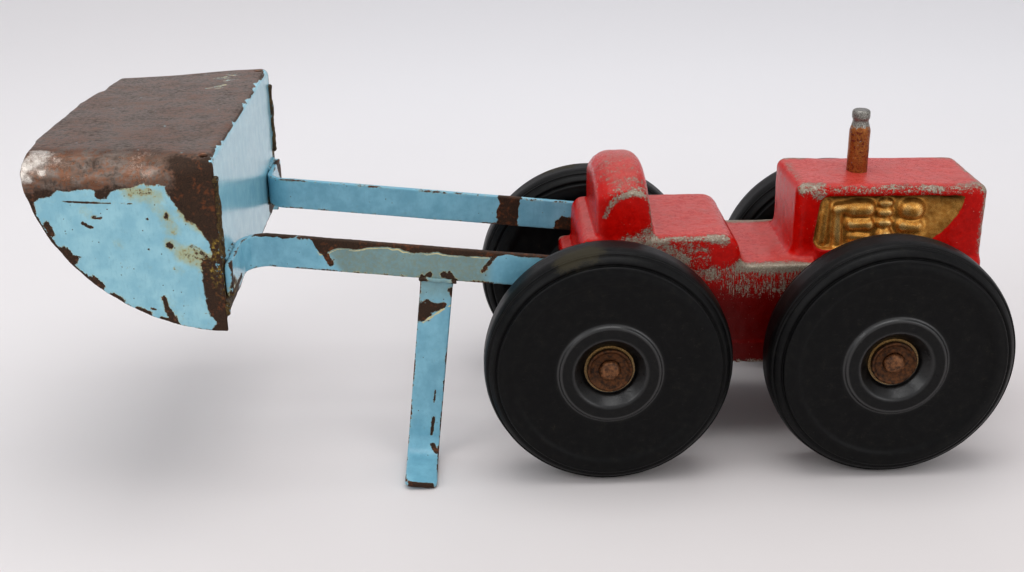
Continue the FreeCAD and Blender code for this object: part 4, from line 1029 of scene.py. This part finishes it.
def bucket_masks(points, grids):
    x, y, z = points.T
    flat = np.stack([x, z], 1)
    paint = outline_field(x, z, SIDE_PAINT)
    ragged = wobble(points, 5.0, 41) * 1.0 + wobble(points, 1.8, 42) * 0.5
    on_flank = np.abs(grids["flank_gap"]) < 1.2
    outer = grids["depth"] > -SHEET / 2
    near = np.where(y < 0, 1.0, 0.7)
    side_bare = smooth_step(paint + ragged, -1.6, 1.6)
    side_bare = np.maximum(side_bare, near * marks(flat, SIDE_CHIPS))
    back_line = -150.4 + wobble(points, 9.0, 43) * 1.4 + wobble(points, 2.5, 44) * 1.6
    top_bare = smooth_step(back_line - x, -0.9, 0.9)
    on_top = grids["top_gap"] > -1.4
    on_back = (np.abs(grids["back_gap"]) < 1.4) & ~on_top
    back_bare = smooth_step(np.abs(y), 90.5, 93.0) * 0.85
    below_tab = smooth_step(117.5 + wobble(points, 4.0, 48) * 2.0 - z, -0.8, 0.8) * smooth_step(-y, 56, 60)
    back_bare = np.maximum(np.maximum(back_bare, below_tab), marks(points, both_sides(BACK_CHIPS)))
    bare = np.where(on_top, top_bare, np.where(on_flank, side_bare, np.where(on_back, back_bare, side_bare)))
    inside_bare = 0.34 * smooth_step(-x, 190, 240) + 0.30 * smooth_step(z, 150, 182) + 0.10
    bare = np.where(outer, bare, inside_bare)
    fold = smooth_step(z, 174, 178) * smooth_step(x, -156, -152) * (np.abs(y) < 86)
    patchy = 0.5 + 0.5 * wobble(points, 9.0, 46) + 0.3 * wobble(points, 3.0, 47)
    # Along the top bend the steel value is partly polished metal and partly a painted highlight, brightest
    # near the lip and again towards the rear.
    band = smooth_step(z, 163, 172) * (1 - smooth_step(z, 181.9, 182.8)) * outer * (np.abs(y) > 62)
    painted_highlight_along_bend = np.interp(x, (-240, -226, -214, -196, -184, -176, -166),
                                 (1.0, 0.95, 0.55, 0.35, 0.70, 0.6, 0.0))
    steel = 0.22 + 0.34 * smooth_step(z, 181.0, 182.4) * outer * (1 - 0.9 * band)
    steel = steel + band * (0.12 + painted_highlight_along_bend * (0.25 + 0.55 * patchy))
    low_band = smooth_step(z, 160, 172) * (1 - smooth_step(z, 172, 177)) * (~on_top)
    steel = steel + low_band * 0.18 * (patchy - 0.4)
    steel = steel * (1 - smooth_step(x, -172, -162) * (z < 181))
    rust_spots = near * marks(flat, SIDE_RUST) * on_flank
    rusting = np.maximum(rust_spots, 0.35 * smooth_step(-np.abs(paint + 2.5), -2.5, 0) * on_flank)
    rusting = np.where(outer, rusting, 0.25)
    cream = marks(points, SCUFFS) * on_top + 0.5 * wobble(points, 1.8, 49) * on_top
    cream = np.where(cream > 0.3, cream, 0)
    return {"bare": np.where(cream > 0.4, 0, bare), "steel": steel, "rusting": rusting, "cream": cream,
            "scorched": marks(points, both_sides(SCORCHED_BACK)),
            "edge": grids["edge"] * (1 - fold) * (1 - cream)}


field_piece("bucket_sheet", bucket_field, (-246, -97, 93), (-145, 97, 186), 0.6, "loader",
            BLUE_BUCKET, ("bucket_shell",), masks=bucket_masks)


# ---- straps


def arm_frame(x, z):
    """Distance from the pivot along the arm, and distance below its centre line."""
    dx, dz = x - PIVOT_X, z - PIVOT_Z
    along = -dx * math.cos(SLOPE) + dz * math.sin(SLOPE)
    below = -dx * math.sin(SLOPE) - dz * math.cos(SLOPE)
    return along, below


TAB_X = BUCKET_BACK + STRAP_THICK / 2
ARM_FACE = -ARM_Y - STRAP_THICK
ARM_MID_Y = ARM_Y + STRAP_THICK / 2
ARM_BEND = 11.0 + STRAP_THICK / 2
LEVER_BEND = 10.0 + STRAP_THICK / 2
STRAP_ROUND = 0.7
STRAP_STEP = 0.5


def strap_path(u, v, corner, bend):
    """Distance to an L-shaped centre line: down the v axis at u = corner[0], then out along v = corner[1]."""
    centre_u, centre_v = corner[0] + bend, corner[1] + bend
    arc = np.abs(np.hypot(u - centre_u, v - centre_v) - bend)
    first = np.where(v >= centre_v, np.abs(u - corner[0]), 1e6)
    second = np.where(u >= centre_u, np.abs(v - corner[1]), 1e6)
    return np.where((u < centre_u) & (v < centre_v), arc, np.minimum(first, second))


def left_arm_field(axes, step):
    x, y, z = axes
    shape = np.broadcast_shapes(x.shape, y.shape, z.shape)
    along, below = arm_frame(x, z)
    uneven = lumps(shape, step, 12.0, 21) * 0.12 + 0.10
    path = strap_path(y, x, (ARM_MID_Y, TAB_X), ARM_BEND)
    sheet = path - STRAP_THICK / 2 + uneven
    end_along = (PIVOT_X - TAB_X - ARM_BEND) / math.cos(SLOPE)
    clamped = np.minimum(along, end_along)
    height_line = PIVOT_Z + math.tan(SLOPE) * (PIVOT_X - np.maximum(x, TAB_X + ARM_BEND))
    tall = np.abs(z - height_line) * math.cos(SLOPE) - STRAP_HALF + uneven * 0.6
    round_end = np.hypot(along, below) - STRAP_HALF + 0.1
    outline = np.where(clamped > 0, tall, round_end)
    corner = rectangle_field(y, z - height_line, (-200, -STRAP_HALF / math.cos(SLOPE)),
                             (TAB_END - 0.2, STRAP_HALF / math.cos(SLOPE)), 4.0)
    outline = np.maximum(outline, np.where(x < TAB_X + ARM_BEND, corner, -1e3))
    strap = round_meet(sheet, outline, STRAP_ROUND)
    hole = rod_field(x, z, (PIVOT_X, PIVOT_Z), 4.2)
    return np.maximum(strap, -hole), {"along": along, "below": below}


def right_arm_field(axes, step):
    x, y, z = axes
    return left_arm_field((x, -y, z), step)


RIGHT_ARM_CHIPS = on_face(ARM_FACE, [
    (-109.5, 124.0, -104.0, 113.0, 1.6, 0.75), (-20.0, 116.0, -27.0, 107.0, 1.4, 0.55),
    (-59.0, 101.0, -54.0, 106.0, 1.5, 0.80), (-58.0, 105.0, -57.0, 101.5, 1.2, 0.75),
    (-47.0, 105.5, -43.5, 103.0, 1.9, 0.85), (-44.0, 106.5, -40.5, 101.0, 1.2, 0.75)])
RIGHT_ARM_CHIPS += [
    ((-145.5, -66, 113.5), (-145.5, -88, 113.5), 2.6, 0.85), ((-146, -88, 128), (-146, -90, 114), 2.0, 0.75),
    ((-144, -78, 116), (-146, -86, 120), 2.6, 0.55)]


def right_arm_masks(points, grids):
    along, below = grids["along"], grids["below"]
    ragged = wobble(points, 7.0, 51) * 1.6 + wobble(points, 2.5, 52) * 0.8
    # dark bare band along the top edge, widest over the lever
    top_line = np.interp(along, [70, 80, 95, 135, 160, 166, 172], [-9.5, -6.5, -7.0, -7.2, -5.0, -2.0, -9.5])
    bare = smooth_step(top_line + 1.2 - below + ragged * 0.7, -0.8, 0.8)
    bare = np.maximum(bare, marks(points, RIGHT_ARM_CHIPS))
    bare = np.minimum(bare, 1.0) + 0.12 * wobble(points, 1.6, 57)
    bare = np.maximum(bare, 0.16 * (np.abs(below) > 7))
    outer = points[:, 1] < -ARM_MID_Y
    faded = 0.9 * smooth_step(along, 76, 84) * (1 - smooth_step(along + below * 0.8, 158, 164)) * outer
    cream = np.exp(-((below - top_line - 2.1 - ragged * 0.7) / 0.5) ** 2) * outer
    cream = cream * smooth_step(along, 74, 80) * (1 - smooth_step(along, 166, 172))
    cream = cream * (0.65 + 0.35 * wobble(points, 6.0, 59))
    scorched = smooth_step(-points[:, 1], 66, 84) * smooth_step(124 - points[:, 2], 0, 10)
    return {"bare": bare, "faded": faded, "rusting": faded * 0.35 + scorched * 0.6, "scorched": scorched,
            "cream": cream}


def left_arm_masks(points, grids):
    along = grids["along"]
    ragged = wobble(points, 4.0, 53) * 1.4 + wobble(points, 1.6, 54) * 0.7
    band = 1 - smooth_step(np.abs(along - 67.5) + ragged, 5.2, 6.8)
    low_patch = (1 - smooth_step(np.hypot(along - 33, (grids["below"] - 6) * 1.1) + ragged, 5.5, 7.5)) * 0.95
    bare = np.maximum(band, low_patch)
    bare = np.maximum(bare, 0.14 * (np.abs(grids["below"]) > 7))
    bare = np.maximum(bare, marks(points, [((-147, 80, 128), (-147, 90, 118), 4.0, 0.85)]))
    return {"bare": bare, "rusting": np.full(len(points), 0.1)}


ARM_LOW, ARM_HIGH = span("left_arm")
for hand, build, masks, low_y in (("left", left_arm_field, left_arm_masks, 43),
                                  ("right", right_arm_field, right_arm_masks, -93)):
    field_piece(f"{hand}_arm_strap", build, (ARM_LOW[0] - 2, low_y, ARM_LOW[2] - 2),
                (ARM_HIGH[0] + 2, low_y + 50, ARM_HIGH[2] + 2), STRAP_STEP, "loader", BLUE_STRAP,
                (f"{hand}_arm",), masks=masks, edge_reach=1.0)

FOOT_BELOW = (PIVOT_Z + (LEVER_AT - STRAP_HALF) * math.sin(SLOPE)) / math.cos(SLOPE)


def lever_field(axes, step):
    x, y, z = axes
    shape = np.broadcast_shapes(x.shape, y.shape, z.shape)
    along, below = arm_frame(x, z)
    uneven = lumps(shape, step, 11.0, 25) * 0.12 + 0.15
    path = strap_path(-y, FOOT_BELOW - below, (ARM_MID_Y, STRAP_THICK / 2), LEVER_BEND)
    sheet = path - STRAP_THICK / 2 + uneven
    flare = 4.5 - np.sqrt(np.maximum(4.5 ** 2 - np.clip(4.5 - (below - STRAP_HALF), 0, 4.4) ** 2, 0))
    wide = np.abs(along - LEVER_AT) - STRAP_HALF - flare + uneven * 0.6
    strap = round_meet(sheet, wide, STRAP_ROUND)
    end = rectangle_field(-y, along, (-200, LEVER_AT - STRAP_HALF), (LEVER_FOOT, LEVER_AT + STRAP_HALF), 4.5)
    strap = round_meet(strap, end + 0.1, STRAP_ROUND)
    strap = np.maximum(strap, STRAP_HALF - 0.2 - below)
    return strap, {"along": along, "below": below}


LEVER_CHIPS = on_face(ARM_FACE, [
    (-57.5, 87.0, -58.0, 83.0, 3.6, 0.95), (-55.0, 86.0, -48.0, 88.5, 2.0, 0.85),
    (-56.0, 91.0, -50.0, 86.0, 1.6, 0.7), (-44.0, 97.0, -42.0, 95.0, 1.8, 0.6),
    (-55.0, 24.0, -56.5, 14.0, 0.9, 0.75), (-53.5, 40.0, -54.5, 33.0, 0.6, 0.7)])
LEVER_CHIPS += [((-56.0, -50.0, 8.0), (-54.5, -52.0, 5.0), 1.4, 0.8)]
LEVER_PRIMER = on_face(ARM_FACE, [
    (-58.5, 79.3, -54.0, 82.2, 0.6, 0.9), (-54.0, 82.2, -49.0, 85.8, 0.5, 0.8),
    (-49.0, 85.8, -43.5, 88.6, 0.5, 0.7)])


def lever_masks(points, grids):
    along, below = grids["along"], grids["below"]
    bare = marks(points, LEVER_CHIPS)
    edge_wear = smooth_step(LEVER_AT - along, 7.2, 8.7) * smooth_step(below, 20, 80) * 0.42
    other = smooth_step(along - LEVER_AT, 7.6, 8.7) * 0.25
    tip = smooth_step(-points[:, 1], 81.5, 83.0) * 0.9
    bare = np.maximum(np.maximum(bare, edge_wear), np.maximum(other, tip))
    under = smooth_step(6 - points[:, 2], 4.5, 6.5) * 0.8
    bare = np.maximum(bare, under) + 0.15 * wobble(points, 1.5, 58)
    cream = np.maximum(marks(points, LEVER_PRIMER) + 0.4 * wobble(points, 2.0, 60), 0)
    return {"bare": np.where(cream > 0.4, 0, bare), "faded": smooth_step(points[:, 2], 86, 98) * 0.6,
            "rusting": np.full(len(points), 0.1), "cream": cream}


LEVER_LOW, LEVER_HIGH = span("lever")
field_piece("lever_strap", lever_field, LEVER_LOW - 2, LEVER_HIGH + 2, STRAP_STEP, "loader", BLUE_STRAP,
            ("lever",), masks=lever_masks, edge_reach=1.0)


# ---- brazing


def bead_field(runs, seed):
    """Lumpy beads along ((start), (end), radius) runs."""
    def build(axes, step):
        bead = join_all((capsule_field(axes, *run) for run in runs), 1.5)
        return bead + lumps(bead.shape, step, 4.0, seed) * 0.55 + lumps(bead.shape, step, 1.6, seed + 1) * 0.3
    return build


def tab_masks(points, grids):
    return {"painted": smooth_step(points[:, 2], 119, 126)}


def weld_masks(points, grids):
    """Old paint over the weld, gone at its two ends."""
    ends = smooth_step(np.abs(points[:, 0] + 49.8), 4.0, 9.0) * 0.6
    return {"bare": ends, "faded": np.full(len(points), 0.7), "rusting": np.full(len(points), 0.3)}


TAB_LOW_Z, TAB_HIGH_Z = 112.8, 130.2
for hand in ("left", "right"):
    s = side_of(hand)
    low, high = span(f"{hand}_arm_braze")
    runs = [((BUCKET_BACK, s * 64, TAB_HIGH_Z), (BUCKET_BACK, s * 84, TAB_HIGH_Z), 1.2),
            ((BUCKET_BACK, s * 58, TAB_LOW_Z), (BUCKET_BACK, s * 86, TAB_LOW_Z), 2.4)]
    field_piece(f"{hand}_braze_bead", bead_field(runs, 60), low - 2, high + 2, STRAP_STEP, "loader", BRAZE,
                (f"{hand}_arm_braze",), masks=tab_masks)
seam_low, seam_high = span("bucket_corner_braze")
for hand in ("left", "right"):
    s = side_of(hand)
    seam_y = s * 91.2
    runs = [((BUCKET_BACK, seam_y, 105), (BUCKET_BACK, seam_y, 109), 1.6),
            ((BUCKET_BACK, seam_y, 135), (BUCKET_BACK, seam_y, 172), 1.6)]
    low = [seam_low[0] - 1, min(s * 88, s * 95), seam_low[2] - 2]
    high = [seam_high[0] + 1, max(s * 88, s * 95), seam_high[2] + 2]
    field_piece(f"{hand}_corner_seam", bead_field(runs, 70), low, high, STRAP_STEP, "loader", BRAZE,
                ("bucket_corner_braze",))
weld_low, weld_high = span("lever_weld")
weld_runs = [((-58.5, y, 103.4), (-41.0, y, 101.6), 1.5) for y in (-ARM_Y, ARM_FACE)]
field_piece("lever_weld_bead", bead_field(weld_runs, 80), weld_low - 2, weld_high + 2, STRAP_STEP, "loader",
            BLUE_STRAP, ("lever_weld",), masks=weld_masks)


# ---- wheels

HUB_OFFSET = 9.5


def wheel_profile():
    """Half section from the bore out to the tread centre, as (radius, offset)."""
    shoulder = 13.0
    centre_r, centre_w = WHEEL_RADIUS - shoulder, WHEEL_HALF - shoulder
    points = [(7.5, 0.0), (7.5, HUB_OFFSET)]
    points += [(r, HUB_OFFSET) for r in np.linspace(8.5, 12.6, 6)]
    # cup wall, coned out to the mouth
    points += [(12.9, HUB_OFFSET + 0.1), (13.3, HUB_OFFSET + 0.4)]
    points += [(13.5 + 4.3 * t, HUB_OFFSET + 0.7 + 5.2 * t) for t in np.linspace(0, 1, 10)]
    points += [(18.2, 15.8), (18.7, 16.1), (19.3, 16.25), (20.2, 16.3), (22.0, 16.3), (24.0, 16.3),
               (24.9, 16.28), (25.3, 16.15), (25.6, 15.85), (25.85, 15.4), (26.2, 15.0), (26.9, 14.75)]
    points += [(r, 14.7 + 0.3 * ((r - 28) / 19) ** 2) for r in np.linspace(28, 47, 12)]
    for r in np.linspace(48.0, 50.0, 4):
        points.append((r, 15.0 + 1.25 * (1 - math.cos(math.pi * (r - 47.0) / 3.5)) / 2))
    for angle in np.linspace(math.radians(86), 0, 150):
        r = centre_r + shoulder * math.cos(angle)
        w = centre_w + shoulder * math.sin(angle)
        inset = 0.07 + 1.1 * math.exp(-((r - 57.7) / 0.6) ** 2) - 0.22 * math.exp(-((r - 56.0) / 0.8) ** 2)
        inset -= 0.40 * math.exp(-((r - 61.8) / 0.18) ** 2)
        inset += 0.25 * math.exp(-((r - 61.25) / 0.25) ** 2) + 0.25 * math.exp(-((r - 62.25) / 0.2) ** 2)
        points.append((r - inset * math.cos(angle), w - inset * math.sin(angle)))
    return points


def whole_profile(half):
    """A closed outline from a half section and its mirror image across the middle."""
    return half + [(r, -w) for r, w in reversed(half) if w > 1e-6]


def wheel_attributes(piece, axle_x, s, dust):
    """Radius from the axle, whether the point is on the outer face, and where dust lies."""
    flat = np.zeros(len(piece.data.vertices) * 3, np.float32)
    piece.data.vertices.foreach_get("co", flat)
    points = flat.reshape(-1, 3) / MM
    radial = np.hypot(points[:, 0] - axle_x, points[:, 2] - AXLE_Z)
    outward = smooth_step((points[:, 1] - s * TRACK) * s, 2, 8)
    for key, values in (("radial", radial), ("outward", outward), ("dusty", marks(points, dust))):
        set_attribute(piece.data, key, values)


WHEEL_SECTION = whole_profile(wheel_profile())
WHEEL_TURNS = 256
CAP_IN, CAP_OUT = 9.8, 12.2
CAP_SECTION = [(4.7, CAP_IN), (11.2, CAP_IN), (11.6, CAP_IN + 0.3), (11.6, CAP_OUT - 0.7),
               (11.4, CAP_OUT - 0.2), (10.9, CAP_OUT), (10.4, CAP_OUT - 0.1), (10.0, CAP_OUT - 0.4),
               (9.6, CAP_OUT - 0.8), (9.0, CAP_OUT - 1.1), (7.5, CAP_OUT - 1.35), (6.0, CAP_OUT - 1.4),
               (4.7, CAP_OUT - 1.4)]
for end, axle_x in (("front", FRONT_X), ("rear", REAR_X)):
    for hand in ("right", "left"):
        s = side_of(hand)
        seed = 100 + 10 * (end == "front") + (hand == "left")
        dust = [((axle_x - 22, s * 76, 122), (axle_x - 10, s * 74, 125), 6.0, 0.55)] if end == "rear" else []
        tyre = lathe_piece(f"{end}_{hand}_tyre", WHEEL_SECTION, (axle_x, s * TRACK, AXLE_Z), s,
                           f"{end}_{hand}_wheel_body", RUBBER, (f"{end}_{hand}_wheel",),
                           WHEEL_TURNS, 0.05, 9.0, seed)
        wheel_attributes(tyre, axle_x, s, dust)
        lathe_piece(f"{end}_{hand}_hub_cap", CAP_SECTION, (axle_x, s * TRACK, AXLE_Z), s, "tractor", RUST,
                    (f"{end}_{hand}_axle_cap",), 96, 0.16, 3.0, seed)
    head_top = span(f"{end}_axle")[1][1]
    rod = [(4.75, 0.0), (4.75, 77.6), (5.0, 78.3), (5.4, 78.7), (5.3, 79.6), (4.7, 80.5), (3.6, 81.1),
           (2.0, head_top - 0.25), (0.0, head_top - 0.15)]
    lathe_piece(f"{end}_axle_rod", whole_profile(rod), (axle_x, 0, AXLE_Z), 1, "tractor", RUST_LIGHT,
                (f"{end}_axle",), 64, 0.28, 2.6, 130 + (end == "front"))

PIN_X, _, PIN_Z = centre_of("body_cross_pin")
PIN_HALF = [(2.5, 0.0), (2.5, 36.4), (5.6, 36.5), (5.6, 37.0), (5.2, 37.2), (4.2, 37.3), (2.0, 37.4),
            (0.0, 37.4)]
pin = lathe_piece("cross_pin", PIN_HALF + [(r, -w) for r, w in reversed(PIN_HALF)], (PIN_X, 0, PIN_Z), 1,
                  "tractor", RED, ("body_cross_pin",), 64, 0.1, 3.0, 171)
set_attribute(pin.data, "bare", np.full(len(pin.data.vertices), 0.42))

# ---- exhaust stack

STACK_SECTION = [(0.0, 134.0), (5.4, 134.0), (5.5, 136.0)]
STACK_SECTION += [(5.5, z) for z in np.arange(138, 163, 2.0)]
STACK_SECTION += [(5.5, 163.2), (5.4, 164.2), (5.0, 165.6), (4.6, 167.0), (4.25, 168.2), (4.15, 169.2),
                  (4.3, 169.9), (4.65, 170.5), (4.75, 171.4), (4.75, 173.2), (4.6, 174.1), (4.2, 174.7),
                  (3.5, 175.0), (2.0, 174.9), (0.0, 174.8)]
lathe_piece("stack_pin", STACK_SECTION, (centre_of("exhaust_stack")[0], 0, 0), 1, "tractor", STACK,
            ("exhaust_stack",), 96,
            0.14, 3.4, 150, upright=True)

# ---- carried-over nodes

FINISHES = {"hub_bush": STEEL, "axle_spacers": STEEL, "pivot_rod": RUST_LIGHT, "pivot_inner_washers": STEEL,
            "pivot_retainers": RUST_LIGHT}
for node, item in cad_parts.items():
    for ending, finish in FINISHES.items():
        if node.endswith(ending):
            item.data.materials.clear()
            item.data.materials.append(finish)

# ---- floor, light and camera


# The stage, in metres.
FLOOR_REACH, FLOOR_BACK, CURVE_RADIUS, WALL_TOP = 9.0, 1.6, 1.2, 4.5


def stage_mesh():
    """Floor that curves up into a backdrop."""
    section = [(-FLOOR_REACH, 0.0), (FLOOR_BACK, 0.0)]
    for t in np.linspace(0.05, 1, 24):
        angle = t * math.pi / 2
        section.append((FLOOR_BACK + CURVE_RADIUS * math.sin(angle), CURVE_RADIUS * (1 - math.cos(angle))))
    section.append((FLOOR_BACK + CURVE_RADIUS, WALL_TOP))
    points = [(x, y, z) for x in (-FLOOR_REACH, FLOOR_REACH) for y, z in section]
    count = len(section)
    faces = [(i, count + i, count + i + 1, i + 1) for i in range(count - 1)]
    mesh = bpy.data.meshes.new("studio_floor")
    mesh.from_pydata(points, [], faces)
    mesh.shade_smooth()
    return mesh


def paper(name):
    f = Finish(name)
    tone = f.noise(0.004, 3)
    colour = f.mix(tone.above(0.3, 0.7), srgb(212, 207, 206), srgb(216, 211, 210))
    # painted light: the paper gets lighter further back, where the backdrop is lit more
    colour = f.mix(f.y.above(-250.0, 900.0), colour, srgb(238, 237, 239))
    # painted light: lighter on the left, taking out part of the shadow under the bucket
    colour = f.mix(f.x.below(-420.0, -100.0) * 0.5, colour, srgb(238, 235, 235))
    return f.done(colour, 0.75)


floor = bpy.data.objects.new("studio_floor", stage_mesh())
bpy.context.scene.collection.objects.link(floor)
floor.data.materials.append(paper("pale_paper_painted_light"))


def soft_light(name, place, aim, size, power, colour=(1, 1, 1)):
    data = bpy.data.lights.new(name, "AREA")
    data.shape = "RECTANGLE"
    data.size, data.size_y = size
    data.energy = power
    data.color = colour
    lamp = bpy.data.objects.new(name, data)
    lamp.location = place
    lamp.rotation_mode = "QUATERNION"
    lamp.rotation_quaternion = (Vector(aim) - Vector(place)).to_track_quat("-Z", "Y")
    bpy.context.scene.collection.objects.link(lamp)


soft_light("overhead", (0.03, -0.10, 1.25), (0.03, 0, 0.05), (1.0, 0.8), 5.2)
soft_light("left_front", (-1.2, -0.8, 1.0), (-0.05, 0, 0.08), (0.7, 0.7), 3.2)
soft_light("right_front", (1.1, -1.2, 0.7), (0.05, 0, 0.08), (0.9, 0.9), 3.0)

SKY_COLOUR, SKY_STRENGTH = (0.98, 0.98, 1.0, 1), 0.67
world = bpy.data.worlds.new("studio")
world.use_nodes = True
sky = world.node_tree.nodes["Background"].inputs
sky[0].default_value, sky[1].default_value = SKY_COLOUR, SKY_STRENGTH
bpy.context.scene.world = world
bpy.context.scene.view_settings.view_transform = "Standard"
bpy.context.scene.view_settings.look = "Medium High Contrast"

CAMERA_PLACE = (-0.02806, -0.69161, 0.35547)
CAMERA_YAW, CAMERA_PITCH, CAMERA_ROLL = 0.02466, 0.38011, 0.014764
CAMERA_LENS = 47.41


def aim_camera():
    data = bpy.data.cameras.new("camera")
    data.sensor_width = 36
    data.lens = CAMERA_LENS
    data.clip_start, data.clip_end = 0.01, 20
    camera = bpy.data.objects.new("camera", data)
    level = math.cos(CAMERA_PITCH)
    ahead = Vector((math.sin(CAMERA_YAW) * level, math.cos(CAMERA_YAW) * level, -math.sin(CAMERA_PITCH)))
    right = Vector((math.cos(CAMERA_YAW), -math.sin(CAMERA_YAW), 0))
    down = ahead.cross(right)
    rolled = right * math.cos(CAMERA_ROLL) + down * math.sin(CAMERA_ROLL)
    below = down * math.cos(CAMERA_ROLL) - right * math.sin(CAMERA_ROLL)
    turn = Matrix((rolled, -below, -ahead)).transposed()
    camera.matrix_world = Matrix.Translation(CAMERA_PLACE) @ turn.to_4x4()
    bpy.context.scene.collection.objects.link(camera)
    bpy.context.scene.camera = camera


aim_camera()
